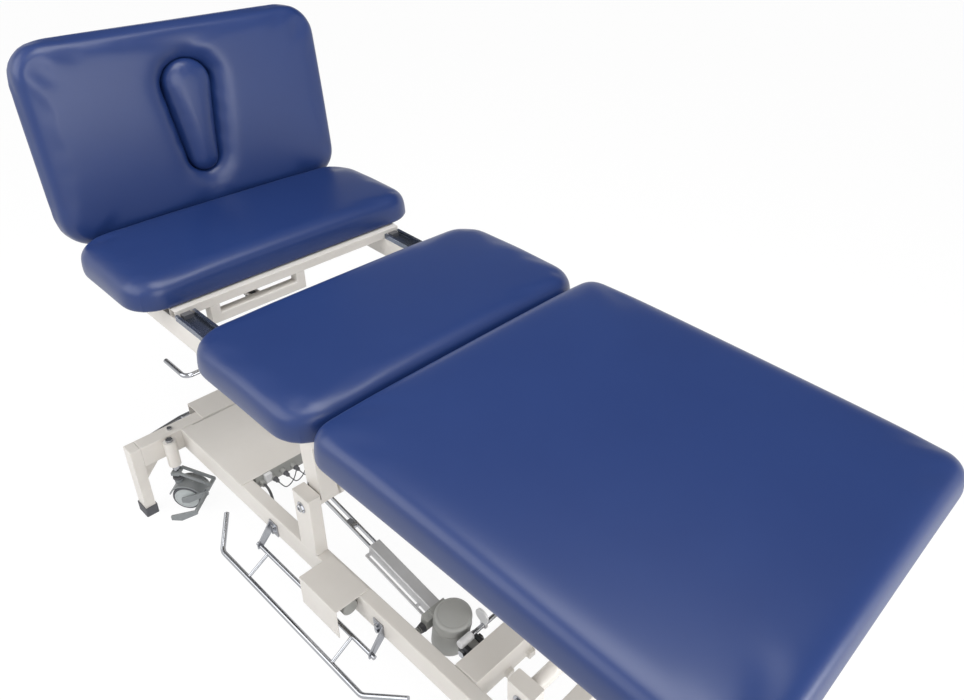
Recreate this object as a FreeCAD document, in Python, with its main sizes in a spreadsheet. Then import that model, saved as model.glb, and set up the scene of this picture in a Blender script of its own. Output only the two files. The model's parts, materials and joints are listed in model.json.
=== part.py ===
"""Traction table with four upholstered sections and a powered lift.

Lengths are in millimetres and angles in degrees.  +X is the foot end, -X the head end,
-Y the near side and +Z is up.  The floor is Z = 0.  The pieces stand as in the photo:
back section raised, rolling section drawn out to the foot end, table lifted.
"""
import math
import os
import FreeCAD
import Part
import Sketcher

os.makedirs("parts", exist_ok=True)

# Every size that drives the table.
SIZES = {
    # upholstery
    "pad_wide": 694, "lumbar_wide": 686, "back_wide": 674,
    "pad_thick": 57, "pad_corner": 74, "pad_round": 30,
    "foot_edge": 900, "leg_long": 795, "roll_long": 373, "lumbar_long": 297, "back_long": 440,
    "pad_gap": 10, "roll_open": 188, "hinge_gap": 8,
    "board_thick": 6, "board_inset": 24, "roll_inset": 24,
    # back section and its hinge
    "back_angle": 84, "hinge_inset": 20, "hinge_deep": 24, "lug_half": 8, "lug_thick": 8,
    "lug_side": 257, "plate_side": 245, "hinge_pin": 5, "notch_wide": 26,
    "back_tube": 16, "back_tube_long": 250, "crank_out": 50, "crank_down": 86.6, "crank_side": 95,
    # face plug
    "face_far": 306, "face_near": 134, "face_big": 57, "face_small": 37, "face_gap": 1.2,
    # moving top frame
    "support_high": 20, "support_wide": 25, "frame_drop": 57.8,
    "side_outer": 277, "side_wide": 40, "side_high": 50, "side_head": 812, "side_foot": 820,
    "tube_wall": 3, "bar_show": 15,
    "cross_wide": 60, "cross_high": 30, "pivot_lug": 8, "pivot_shaft": 8,
    "hanger_depth": 43, "hanger_bar": 21, "hanger_left": 206, "hanger_right": 16,
    "spring_pin_back": 12, "spring_radius": 11, "spring_rod": 5, "spring_case": 192,
    # rolling section slides
    "slide_wide": 42, "slide_high": 12, "slide_sheet": 2, "runner_wide": 26, "runner_rise": 14,
    "runner_inset": 32, "cage_wide": 4, "cage_long": 250,
    # lock lever
    "lever_x": -378, "lever_side": 312, "lever_low": 34, "lever_rod": 5, "lever_grip": 80,
    # base
    "base_top": 212, "base_head": -797, "base_long": 1289, "beam_wide": 40, "beam_high": 60,
    "rail_outer": 215, "rail_wide": 30, "leg_outer": 343, "leg_wide": 25,
    "boot_high": 27, "boot_floor": 8, "boot_wall": 3, "gusset_long": 50, "gusset_high": 57,
    "head_post": -188, "post_pitch": 643, "post_wide": 60, "post_high": 158, "pivot_drop": 32,
    "pivot_bolt": 6, "plate_foot": -464, "plate_sheet": 2,
    # lift
    "arm_long": 318, "arm_lean": 4, "arm_wide": 50, "arm_thick": 40, "head_arm": 180, "foot_arm": 112,
    "head_tube": 17, "foot_tube": 15, "crank_long": 130, "crank_lean": 46, "drive_side": 115,
    "clevis_x": 222, "clevis_z": 167, "clevis_pin": 6, "drive_beam": 253, "drive_beam_wide": 60,
    "drive_tube": 28, "drive_tube_end": 314, "drive_fork": 19, "motor_radius": 39, "release_z": 203, "release_rod": 5,
    # foot switch bars
    "bar_side": 249, "bar_low": 130, "bar_shaft": 5, "bar_rod": 6, "bar_reach": 56, "bar_fall": 33,
    "head_bar_x": -850, "head_bar_z": 150, "head_bar_out": 44, "head_bar_fall": 10,
    # casters
    "caster_in": 23, "caster_side": 256, "caster_trail": 21, "wheel_radius": 37.5,
    "wheel_lift": 3, "wheel_wide": 16, "caster_turn": 40, "housing_radius": 15,
}

doc = FreeCAD.newDocument("TractionTable")
sheet = doc.addObject("Spreadsheet::Sheet", "Dims")
for row, (name, value) in enumerate(SIZES.items(), start=1):
    sheet.set(f"A{row}", name)
    sheet.set(f"B{row}", str(value))
    sheet.setAlias(f"B{row}", name)
doc.recompute()

AXES = {
    "x": FreeCAD.Vector(1, 0, 0),
    "y": FreeCAD.Vector(0, 1, 0),
    "z": FreeCAD.Vector(0, 0, 1),
    "-y": FreeCAD.Vector(0, -1, 0),
}


class Size:
    """A sheet cell, or sums worked from cells, kept as an expression."""

    def __init__(self, text):
        self.text = text

    def __add__(self, other):
        return Size(f"({self.text} + {text(other)})")

    def __radd__(self, other):
        return Size(f"({text(other)} + {self.text})")

    def __sub__(self, other):
        return Size(f"({self.text} - {text(other)})")

    def __rsub__(self, other):
        return Size(f"({text(other)} - {self.text})")

    def __mul__(self, other):
        return Size(f"({self.text} * {text(other)})")

    def __rmul__(self, other):
        return Size(f"({text(other)} * {self.text})")

    def __truediv__(self, other):
        return Size(f"({self.text} / {text(other)})")

    def __neg__(self):
        return Size(f"(0 - {self.text})")


class Dims:
    """Gives every cell by its name."""

    def __getattr__(self, name):
        if name not in SIZES:
            raise AttributeError(name)
        return Size(f"Dims.{name}")


d = Dims()


def text(value):
    if isinstance(value, Size):
        return value.text
    return f"({value})" if value < 0 else str(value)


def number(value):
    found = sheet.evalExpression(text(value))
    return float(getattr(found, "Value", found))


def work(function, value):
    return Size(f"{function}({text(value)})")


def bind(thing, **links):
    for prop, value in links.items():
        thing.setExpression(prop, text(value))
    return thing


def put(thing, at):
    for axis, value in zip("xyz", at):
        thing.setExpression(f"Placement.Base.{axis}", text(value))
    return thing


def turn(thing, axis, angle):
    thing.Placement = FreeCAD.Placement(FreeCAD.Vector(), FreeCAD.Rotation(AXES[axis], 10))
    thing.setExpression("Placement.Rotation.Angle", text(angle))
    return thing


def box(at, size):
    made = doc.addObject("Part::Box", "Box")
    bind(made, Length=size[0], Width=size[1], Height=size[2])
    return put(made, at)


def face_axis(made, axis):
    """Stands a primitive, drawn along Z, along another axis."""
    if axis == "x":
        made.Placement.Rotation = FreeCAD.Rotation(AXES["y"], 90)
    if axis == "y":
        made.Placement.Rotation = FreeCAD.Rotation(AXES["x"], -90)
    return made


def rod(at, axis, radius, long):
    made = doc.addObject("Part::Cylinder", "Rod")
    bind(made, Radius=radius, Height=long)
    return put(face_axis(made, axis), at)


def hexagon(at, axis, radius, long):
    made = doc.addObject("Part::Prism", "Hexagon")
    made.Polygon = 6
    bind(made, Circumradius=radius, Height=long)
    return put(face_axis(made, axis), at)


def cut(base, *tools):
    for tool in tools:
        made = doc.addObject("Part::Cut", "Cut")
        made.Base = base
        made.Tool = tool
        base = made
    return base


def fuse(*pieces):
    made = doc.addObject("Part::MultiFuse", "Fuse")
    made.Shapes = list(pieces)
    made.Refine = True
    return made


def rounded(thing, radius, pick):
    """Rounds the picked edges by a size read from the sheet."""
    doc.recompute()
    size = number(radius)
    made = doc.addObject("Part::Fillet", "Round")
    made.Base = thing
    made.Edges = [(n, size, size) for n, edge in enumerate(thing.Shape.Edges, start=1) if pick(edge)]
    return made


def along(axis):
    """Picks straight edges that run along an axis."""
    def pick(edge):
        if edge.Curve.TypeId != "Part::GeomLine":
            return False
        return abs(edge.tangentAt(edge.FirstParameter).dot(AXES[axis])) > 0.99
    return pick


def circles(edge):
    return edge.Curve.TypeId == "Part::GeomCircle"


def tube(axis, at, size, wall):
    """A square tube, open at both ends."""
    lanes = "xyz".index(axis)
    inner_at = [p + wall for p in at]
    inner_size = [s - 2 * wall for s in size]
    inner_at[lanes] = at[lanes] - 1
    inner_size[lanes] = size[lanes] + 2
    return cut(box(at, size), box(inner_at, inner_size))


def sketch_on(body, plane):
    made = body.newObject("Sketcher::SketchObject", "Sketch")
    support = [f for f in body.Origin.OriginFeatures if f.Role == plane][0]
    made.AttachmentSupport = [(support, "")]
    made.MapMode = "FlatFace"
    return made


def hold_point(sketch, line, end, at):
    """Ties a point of a sketch to two sizes, measured from the origin."""
    for kind, value in zip(("DistanceX", "DistanceY"), at):
        rule = Sketcher.Constraint(kind, -1, 1, line, end, number(value))
        sketch.setExpression(f"Constraints[{sketch.addConstraint(rule)}]", text(value))


def outline(sketch, points):
    spots = [FreeCAD.Vector(number(u), number(v), 0) for u, v in points]
    count = len(spots)
    for n in range(count):
        sketch.addGeometry(Part.LineSegment(spots[n], spots[(n + 1) % count]), False)
    for n in range(count):
        sketch.addConstraint(Sketcher.Constraint("Coincident", n, 2, (n + 1) % count, 1))
    for n, point in enumerate(points):
        hold_point(sketch, n, 1, point)


def prism(plane, points, start, long):
    """A flat outline made solid; it starts at a station and runs in the positive direction."""
    body = doc.addObject("PartDesign::Body", "Prism")
    sketch = sketch_on(body, plane)
    outline(sketch, points)
    solid = body.newObject("PartDesign::Pad", "Pad")
    solid.Profile = sketch
    solid.Reversed = plane == "XZ_Plane"
    bind(solid, Length=long)
    axis = {"XY_Plane": "z", "XZ_Plane": "y", "YZ_Plane": "x"}[plane]
    body.setExpression(f"Placement.Base.{axis}", text(start))
    return body


def edges_of(feature, pick):
    return [f"Edge{n}" for n, edge in enumerate(feature.Shape.Edges, start=1) if pick(edge)]


def cushion(at, size, corner, soft=None):
    """A slab with rounded corners in plan and, when soft, a rounded upper edge."""
    body = doc.addObject("PartDesign::Body", "Cushion")
    sketch = sketch_on(body, "XY_Plane")
    outline(sketch, [(0, 0), (size[0], 0), (size[0], size[1]), (0, size[1])])
    slab = body.newObject("PartDesign::Pad", "Slab")
    slab.Profile = sketch
    bind(slab, Length=size[2])
    doc.recompute()
    corners = body.newObject("PartDesign::Fillet", "Corners")
    corners.Base = (slab, edges_of(slab, along("z")))
    bind(corners, Radius=corner)
    doc.recompute()
    if soft is not None:
        top = number(size[2]) - 0.01
        edge = body.newObject("PartDesign::Fillet", "SoftEdge")
        edge.Base = (corners, edges_of(corners, lambda e: min(v.Z for v in e.Vertexes) > top))
        bind(edge, Radius=soft)
        doc.recompute()
    return put(body, at)


def teardrop(far, near, big, small, low, high):
    """An egg outline, wide at its far end, made solid between two heights."""
    body = doc.addObject("PartDesign::Body", "Teardrop")
    sketch = sketch_on(body, "XY_Plane")
    far_x, near_x, big_r, small_r = (number(v) for v in (far, near, big, small))
    lean = (big_r - small_r) / (near_x - far_x)
    rise = (1 - lean * lean) ** 0.5
    up = FreeCAD.Vector(lean, rise, 0)
    down = FreeCAD.Vector(lean, -rise, 0)
    big_c = FreeCAD.Vector(far_x, 0, 0)
    small_c = FreeCAD.Vector(near_x, 0, 0)
    normal = FreeCAD.Vector(0, 0, 1)
    ends = [big_c + up * big_r, big_c + down * big_r, small_c + down * small_r, small_c + up * small_r]
    wide = Part.Arc(ends[0], big_c + FreeCAD.Vector(-big_r, 0, 0), ends[1])
    slim = Part.Arc(ends[2], small_c + FreeCAD.Vector(small_r, 0, 0), ends[3])
    sketch.addGeometry(wide, False)
    sketch.addGeometry(Part.LineSegment(ends[1], ends[2]), False)
    sketch.addGeometry(slim, False)
    sketch.addGeometry(Part.LineSegment(ends[3], ends[0]), False)
    for first, second in ((0, 1), (1, 2), (2, 3), (3, 0)):
        sketch.addConstraint(Sketcher.Constraint("Tangent", first, 2, second, 1))
    for arc, centre, radius in ((0, far, big), (2, near, small)):
        hold_point(sketch, arc, 3, (centre, 0))
        rule = Sketcher.Constraint("Radius", arc, number(radius))
        sketch.setExpression(f"Constraints[{sketch.addConstraint(rule)}]", text(radius))
    solid = body.newObject("PartDesign::Pad", "Pad")
    solid.Profile = sketch
    bind(solid, Length=high - low)
    body.setExpression("Placement.Base.z", text(low))
    return body


def bent_rod(points, radius, bend):
    """A round bar through corner points, each corner bent to a radius."""
    spots = [FreeCAD.Vector(*(number(v) for v in point)) for point in points]
    curve = number(bend)
    edges = []
    start = spots[0]
    for before, corner, after in zip(spots, spots[1:], spots[2:]):
        back = (before - corner).normalize()
        ahead = (after - corner).normalize()
        half = back.getAngle(ahead) / 2
        run = curve / math.tan(half)
        enter = corner + back * run
        leave = corner + ahead * run
        middle = (back + ahead).normalize()
        centre = corner + middle * (run * run + curve * curve) ** 0.5
        edges.append(Part.makeLine(start, enter))
        edges.append(Part.Arc(enter, centre - middle * curve, leave).toShape())
        start = leave
    edges.append(Part.makeLine(start, spots[-1]))
    path = Part.Wire(edges)
    ring = Part.makeCircle(number(radius), spots[0], spots[1] - spots[0])
    made = doc.addObject("Part::Feature", "BentRod")
    made.Shape = path.makePipeShell([Part.Wire([ring])], True, False)
    return made


NODES = []


def node(name, *pieces, at=None, axis=None, angle=None):
    """One sub-part of the table, set at its own place and angle."""
    made = doc.addObject("Part::Compound", name)
    made.Label = name
    made.Links = list(pieces)
    if axis is not None:
        turn(made, axis, angle)
    if at is not None:
        put(made, at)
    NODES.append(made)
    return made


def low_side(side, inner, outer):
    """The lower Y of a strip between two distances from the middle."""
    return -outer if side < 0 else inner


SIDES = (("left", -1), ("right", 1))

# Heights that stack up from the floor.
pivot_z = d.base_top + d.post_high - d.pivot_drop
swing_x = d.arm_long * work("sin", d.arm_lean)
swing_z = d.arm_long * work("cos", d.arm_lean)
top_pivot_z = pivot_z + swing_z
rail_top = top_pivot_z + d.frame_drop
board_low = rail_top + d.support_high
pad_low = board_low + d.board_thick
pad_top = pad_low + d.pad_thick

# Stations along the table.
leg_x = d.foot_edge - d.leg_long
roll_end = leg_x - d.pad_gap
roll_x = roll_end - d.roll_long
lumbar_end = roll_x - d.roll_open
lumbar_x = lumbar_end - d.lumbar_long
hinge_x = lumbar_x - d.hinge_gap - d.hinge_inset
hinge_z = pad_top - d.hinge_deep
foot_post = d.head_post + d.post_pitch
posts = (("head", d.head_post), ("foot", foot_post))
base_low = d.base_top - d.beam_high
foot_beam = d.base_head + d.base_long - d.beam_wide
beams = (("head", d.base_head), ("foot", foot_beam))
rail_inner = d.rail_outer - d.rail_wide
leg_inner = d.leg_outer - d.leg_wide

# Base: two rails, two end beams and the beam that holds the lift drive.
rail_x = d.base_head + d.beam_wide
rail_long = d.base_long - 2 * d.beam_wide
base_rails = []
for side_name, side in SIDES:
    rail_at = (rail_x, low_side(side, rail_inner, d.rail_outer), base_low)
    base_rails.append(tube("x", rail_at, (rail_long, d.rail_wide, d.beam_high), d.tube_wall))
node("base_rails", *base_rails)
end_beams = []
for end_name, beam_x in beams:
    beam_at = (beam_x, -leg_inner, base_low)
    end_beams.append(tube("y", beam_at, (d.beam_wide, 2 * leg_inner, d.beam_high), d.tube_wall))
node("base_beams", *end_beams)

drive_beam_at = (d.drive_beam, -rail_inner, base_low)
drive_beam_size = (d.drive_beam_wide, 2 * rail_inner, d.beam_high)
drive_beam = tube("y", drive_beam_at, drive_beam_size, d.tube_wall)
tabs = [box((d.drive_beam + d.drive_beam_wide, y, base_low), (10, 18, 16)) for y in (-110, -50)]
release_end = 36
rod_tab = box((d.clevis_x - 8, release_end, d.release_z - 13), (d.drive_beam - d.clevis_x + 8, 8, 22))
node("drive_beam", fuse(drive_beam, *tabs, rod_tab))

# Legs with their gussets, and the rubber boots they stand in.
legs = []
boots = []
for end_name, beam_x in beams:
    for side_name, side in SIDES:
        leg_y = low_side(side, leg_inner, d.leg_outer)
        leg_size = (d.beam_wide, d.leg_wide, d.base_top - d.boot_floor)
        leg = box((beam_x, leg_y, d.boot_floor), leg_size)
        hollow_size = (d.beam_wide - 2 * d.tube_wall, d.leg_wide - 2 * d.tube_wall, leg_size[2] - 4)
        hollow = box((beam_x + d.tube_wall, leg_y + d.tube_wall, d.boot_floor - 1), hollow_size)
        corners = [
            (side * leg_inner, base_low),
            (side * (leg_inner - d.gusset_long), base_low),
            (side * leg_inner, base_low - d.gusset_high),
        ]
        gusset = prism("YZ_Plane", corners, beam_x + d.beam_wide / 2 - 3, 6)
        legs.append(fuse(cut(leg, hollow), gusset))
        boot_at = (beam_x - d.boot_wall, leg_y - d.boot_wall, 0)
        boot_size = (d.beam_wide + 2 * d.boot_wall, d.leg_wide + 2 * d.boot_wall, d.boot_high)
        socket = box((beam_x, leg_y, d.boot_floor), (d.beam_wide, d.leg_wide, d.boot_high))
        boots.append(cut(rounded(box(boot_at, boot_size), d.boot_wall, along("z")), socket))
node("legs", *legs)
node("rubber_boots", *boots)

# Posts that carry the lift arms, with the bolts the arms turn on.
lift_posts = []
bolts = []
for post_name, post_x in posts:
    for side_name, side in SIDES:
        post_at = (post_x - d.post_wide / 2, low_side(side, rail_inner, d.rail_outer), d.base_top)
        post = rounded(box(post_at, (d.post_wide, d.rail_wide, d.post_high)), d.tube_wall, along("z"))
        bore = rod((post_x, post_at[1] - 1, pivot_z), "y", d.pivot_bolt + 0.05, d.rail_wide + 2)
        lift_posts.append(cut(post, bore))
        shank_at = (post_x, low_side(side, rail_inner - 30, d.rail_outer), pivot_z)
        shank = rod(shank_at, "y", d.pivot_bolt, d.rail_wide + 30)
        head = hexagon((post_x, low_side(side, d.rail_outer, d.rail_outer + 6), pivot_z), "y", 9.5, 6)
        bolts.append(fuse(shank, head))
node("lift_posts", *lift_posts)

# Cover sheet over the head end, and the control box under its foot edge.
plate_x = d.base_head + 48
plate_long = d.plate_foot - plate_x
floor_sheet = box((plate_x, -d.rail_outer, d.base_top), (plate_long, 2 * d.rail_outer, d.plate_sheet))
node("floor_plate", floor_sheet)
control_high = 34
control_at = (d.plate_foot - 90, -rail_inner + 6, d.base_top - control_high)
control = rounded(box(control_at, (90, 170, control_high)), d.tube_wall, along("x"))
lead_plug_y = -166
plugs = [rod((d.plate_foot, lead_plug_y + 28 * n, d.base_top - 19), "x", 7, 14) for n in range(4)]
node("control_box", fuse(control, *plugs))

# Bent covers over the foot switches, and the switches.
sheet_top = d.base_top + d.plate_sheet
covers = []
switches = []
for side_name, side in SIDES:
    roof = [
        (side * 190, d.base_top), (side * 270, d.base_top), (side * 270, 135), (side * 272, 135),
        (side * 272, sheet_top), (side * 190, sheet_top),
    ]
    covers.append(prism("YZ_Plane", roof, -137, 131))
    switch_y = side * (d.rail_outer + 18)
    switches.append(rounded(rod((-44, switch_y, 186), "x", 18, 30), d.boot_wall, circles))
head_roof = [
    (-757, d.base_top), (-757, sheet_top), (-840, sheet_top), (-840, 137), (-838, 137), (-838, d.base_top),
]
covers.append(prism("XZ_Plane", head_roof, -155, 130))
switches.append(rounded(rod((d.base_head - 18, -75, 186), "y", 18, 30), d.boot_wall, circles))
node("switch_covers", *covers)
node("foot_switches", *switches)

# Three bars that work the lift switches, each on a shaft in two brackets.
brackets = []
for side_name, side in SIDES:
    web = [
        (side * d.rail_outer, 190), (side * d.rail_outer, 153), (side * (d.bar_side - 4), d.bar_low - 9),
        (side * (d.bar_side + 7), d.bar_low - 7), (side * (d.bar_side + 7), d.bar_low + 6),
    ]
    for station in (-348, 68):
        flange_y = low_side(side, d.rail_outer, d.rail_outer + 3)
        flange = box((station - 28 if station > 0 else station, flange_y, 153), (31, 3, 37))
        shaft_bore = rod((station - 1, side * d.bar_side, d.bar_low), "x", d.bar_shaft + 0.1, 10)
        brackets.append(cut(fuse(prism("YZ_Plane", web, station, 3), flange), shaft_bore))
    shaft = rod((-356, side * d.bar_side, d.bar_low), "x", d.bar_shaft, 436)
    struts = []
    out_y = side * (d.bar_side + d.bar_reach)
    out_z = d.bar_low - d.bar_fall
    for station in (-313, 5):
        near_end = (station, side * d.bar_side, d.bar_low)
        struts.append(bent_rod([near_end, (station, out_y, out_z)], 4, 1))
    grip = bent_rod([
        (-494, side * (d.bar_side + 1), d.bar_low), (-424, out_y, out_z), (108, out_y, out_z),
        (196, side * (d.bar_side + 8), d.bar_low - 6),
    ], d.bar_rod, 26)
    node(f"foot_bar_{side_name}", fuse(shaft, *struts, grip))

head_web = [
    (d.base_head, 192), (d.base_head, 158), (d.head_bar_x + 4, d.head_bar_z - 9),
    (d.head_bar_x - 7, d.head_bar_z - 7), (d.head_bar_x - 7, d.head_bar_z + 6),
]
for station in (-175, 120):
    plate = prism("XZ_Plane", head_web, station, 3)
    flange = box((d.base_head - 3, station, 158), (3, 31, 34))
    shaft_bore = rod((d.head_bar_x, station - 1, d.head_bar_z), "y", d.bar_shaft + 0.1, 10)
    brackets.append(cut(fuse(plate, flange), shaft_bore))
node("bar_brackets", *brackets)
head_out = d.head_bar_x - d.head_bar_out
head_low = d.head_bar_z - d.head_bar_fall
head_shaft = rod((d.head_bar_x, -186, d.head_bar_z), "y", d.bar_shaft, 320)
head_struts = []
for station in (-160, 104):
    strut_ends = [(d.head_bar_x, station, d.head_bar_z), (head_out, station, head_low)]
    head_struts.append(bent_rod(strut_ends, 4, 1))
head_grip = bent_rod([
    (head_out + 32, -269, d.head_bar_z), (head_out, -163, head_low), (head_out, 163, head_low),
    (head_out + 32, 269, d.head_bar_z),
], d.bar_rod, 26)
node("foot_bar_head", fuse(head_shaft, *head_struts, head_grip))

# Casters: a housing on each corner, a swivelling hood, twin wheels and a foot brake.
housings = []
wheel_z = d.wheel_radius + d.wheel_lift
head_caster = rail_x + d.caster_in
foot_caster = foot_beam - d.caster_in
caster_turns = {("head", -1): d.caster_turn, ("head", 1): 320, ("foot", -1): 140, ("foot", 1): 220}
wheel_gap = 7
for end_name, caster_x, block_x in (
    ("head", head_caster, rail_x), ("foot", foot_caster, foot_caster + 11),
):
    for side_name, side in SIDES:
        caster_y = side * d.caster_side
        barrel = rod((caster_x, caster_y, 137), "z", d.housing_radius, d.base_top - 137)
        block_size = (d.caster_in - 11, 20, 46)
        block = box((block_x, caster_y - 10, base_low + 4), block_size)
        stem_bore = rod((caster_x, caster_y, 136), "z", 5.8, 66)
        housings.append(cut(fuse(barrel, block), stem_bore))
        bolts.append(hexagon((caster_x, caster_y, d.base_top), "z", 9, 7))
        spot = (caster_x, caster_y, 0)
        place = {"at": spot, "axis": "z", "angle": caster_turns[(end_name, side)]}
        label = f"{end_name}_{side_name}"
        # hood with its middle web, neck and stem
        shell_wide = 2 * (wheel_gap + d.wheel_wide) + 6
        shell = rod((d.caster_trail, -shell_wide / 2, wheel_z), "y", d.wheel_radius + 6, shell_wide)
        space = rod((d.caster_trail, -shell_wide, wheel_z), "y", d.wheel_radius + 2.5, 2 * shell_wide)
        below = box((d.caster_trail - 60, -50, wheel_z - 60), (120, 100, 74))
        web = box((d.caster_trail - 16, -4, wheel_z - 9), (32, 8, d.wheel_radius + 13))
        axle_bore = rod((d.caster_trail, -10, wheel_z), "y", 4.3, 20)
        neck = rod((0, 0, wheel_z + d.wheel_radius + 1), "z", 11, 18)
        stem = rod((0, 0, wheel_z + d.wheel_radius + 10), "z", 5.5, 196 - wheel_z - d.wheel_radius - 10)
        collar = box((-10, -14, 108), (20, 28, 9))
        links = []
        for link_y in (-14, 9):
            link = doc.addObject("Part::Box", "Link")
            bind(link, Length=86, Width=5, Height=7)
            turn(link, "y", 24)
            links.append(put(link, (6, link_y, 114)))
        link_bar = box((78, -26, 74), (8, 44, 7))
        hood = cut(fuse(cut(shell, space, below), web, neck, stem, collar, *links, link_bar), axle_bore)
        node(f"caster_hood_{label}", hood, **place)
        # twin wheels on one axle
        tyres = []
        for tyre_y in (-wheel_gap - d.wheel_wide, wheel_gap):
            tyre = rod((d.caster_trail, tyre_y, wheel_z), "y", d.wheel_radius, d.wheel_wide)
            tyres.append(rounded(tyre, d.boot_wall, circles))
        axle_y = -wheel_gap - d.wheel_wide + 1
        axle = rod((d.caster_trail, axle_y, wheel_z), "y", 4, -2 * axle_y)
        node(f"caster_wheel_{label}", fuse(*tyres, axle), **place)
        # brake pedal: a strap from the hub, a cross piece and a tread that comes back
        inner_y = -wheel_gap - d.wheel_wide - 9
        strap = [
            (d.caster_trail - 9, wheel_z - 7), (d.caster_trail + 8, wheel_z - 7), (84, wheel_z + 24),
            (84, wheel_z + 36), (d.caster_trail - 9, wheel_z + 7),
        ]
        tread = [
            (d.caster_trail - 6, wheel_z - 1), (d.caster_trail + 20, wheel_z - 1), (84, wheel_z + 24),
            (84, wheel_z + 36), (d.caster_trail - 6, wheel_z + 12),
        ]
        inner_strap = prism("XZ_Plane", strap, inner_y, 5)
        outer_strap = prism("XZ_Plane", tread, inner_y - 66, 5)
        cross = rod((80, inner_y - 66, wheel_z + 30), "y", 5, 71)
        node(f"brake_pedal_{label}", fuse(inner_strap, outer_strap, cross), **place)
node("caster_housings", *housings)

# Lift arms lean a little to the head end; each pair stands on a torque tube between the posts.
arm_sides = {"head": d.head_arm, "foot": d.foot_arm}
for post_name, post_x in posts:
    arm_outer = arm_sides[post_name]
    arm_inner = arm_outer - d.arm_thick
    tube_radius = d.head_tube if post_name == "head" else d.foot_tube
    arms = [rod((0, 1 - rail_inner, 0), "y", tube_radius, 2 * rail_inner - 2)]
    bores = []
    for side_name, side in SIDES:
        arm_at = (-d.arm_wide / 2, low_side(side, arm_inner, arm_outer), tube_radius / 2)
        arm_size = (d.arm_wide, d.arm_thick, d.arm_long + d.arm_wide / 2 - tube_radius / 2)
        arm_top = number(d.arm_long)
        arm = rounded(box(arm_at, arm_size), d.arm_wide * 0.48,
                      lambda e: along("y")(e) and e.BoundBox.ZMin > arm_top)
        arms.append(arm)
        bores.append(rod((0, arm_at[1] - 1, d.arm_long), "y", d.pivot_shaft + 0.1, d.arm_thick + 2))
        bolt_way = low_side(side, rail_inner - 32, rail_inner)
        bores.append(rod((0, bolt_way, 0), "y", d.pivot_bolt + 0.1, 32))
    place = {"at": (post_x, 0, pivot_z), "axis": "-y", "angle": d.arm_lean}
    node(f"lift_arms_{post_name}", cut(fuse(*arms), *bores), **place)
crank_plates = []
for gap in (-19, 11):
    plate_at = (-17, -d.drive_side + gap, -d.crank_long - 17)
    blade = rounded(box(plate_at, (34, 8, d.crank_long + 45)), d.head_tube * 0.7, along("y"))
    tube_bore = rod((0, plate_at[1] - 1, 0), "y", d.head_tube + 0.05, 10)
    crank_plates.append(cut(blade, tube_bore))
for stud_y in (-25, 19):
    crank_plates.append(rod((0, -d.drive_side + stud_y, -d.crank_long), "y", 11, 6))
node("lift_crank", *crank_plates, at=(d.head_post, 0, pivot_z), axis="y", angle=d.crank_lean)

# Linear drive from the clevis on the base to the lift crank.
crank_x = d.head_post - d.crank_long * work("sin", d.crank_lean)
crank_z = pivot_z - d.crank_long * work("cos", d.crank_lean)
drive_run = d.clevis_x - crank_x
drive_rise = crank_z - d.clevis_z
drive_tilt = work("atan", drive_rise / drive_run)
drive_long = work("sqrt", drive_run * drive_run + drive_rise * drive_rise)
drive_place = {"at": (d.clevis_x, -d.drive_side, d.clevis_z), "axis": "y", "angle": drive_tilt}
motor_x = -59
drum = rounded(rod((motor_x, 0, -56), "z", d.motor_radius, 101), d.motor_radius * 0.17,
               lambda e: circles(e) and e.BoundBox.ZMin > 40)
drum = rounded(drum, d.motor_radius * 0.3, lambda e: circles(e) and e.BoundBox.ZMax < -50)
rear_lug = box((motor_x, -9.5, -14), (-motor_x + 14, 19, 28))
gland_x = motor_x - 44
gland_z = -16
gland = rod((gland_x, -52, gland_z), "y", 8, 20)
ear = box((gland_x - 10, -36, -20), (20, 17, 34))
pin_bore = rod((0, -20, 0), "y", d.clevis_pin + 0.1, 40)
half_tube = d.drive_tube / 2
nose_wide = d.drive_tube + 12
nose = box((motor_x - 52, -nose_wide / 2, -nose_wide / 2), (40, nose_wide, nose_wide))
nose_hollow = box((motor_x - 53, -half_tube, -half_tube), (41, d.drive_tube, d.drive_tube))
node("drive_motor", cut(fuse(drum, rear_lug, gland, ear, cut(nose, nose_hollow)), pin_bore), **drive_place)
tube_start = motor_x - 42
sleeve_long = d.drive_tube_end + tube_start
sleeve_at = (-d.drive_tube_end, -half_tube, -half_tube)
sleeve = rounded(box(sleeve_at, (sleeve_long, d.drive_tube, d.drive_tube)), d.boot_wall, along("x"))
half_fork = d.drive_fork / 2
bore_at = (-d.drive_tube_end - 1, -half_fork - 0.5, -6.5)
sleeve_bore = box(bore_at, (sleeve_long - 8, d.drive_fork + 1, 13))
track = box((-d.drive_tube_end, -half_tube - 10, -half_tube), (sleeve_long - 14, 5, 5))
tie_at = [(-d.drive_tube_end, -half_tube - 10, -half_tube), (-150, -half_tube - 10, -half_tube)]
ties = [box(spot, (6, 14, 5)) for spot in tie_at]
node("drive_tube", cut(fuse(sleeve, track, *ties), sleeve_bore), **drive_place)
rod_end = -drive_long
eye = rod((rod_end, -half_fork, 0), "y", 15, d.drive_fork)
eye_bore = rod((rod_end, -half_fork - 1, 0), "y", 7, d.drive_fork + 2)
fork_long = drive_long - d.drive_tube_end + 4
fork_bars = [box((rod_end + 6, y, -6), (fork_long, 4, 12)) for y in (-half_fork, half_fork - 4)]
fork_bridge = box((rod_end + 104, -half_fork, -5), (24, d.drive_fork, 10))
node("drive_rod", cut(fuse(eye, *fork_bars, fork_bridge), eye_bore), **drive_place)

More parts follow.
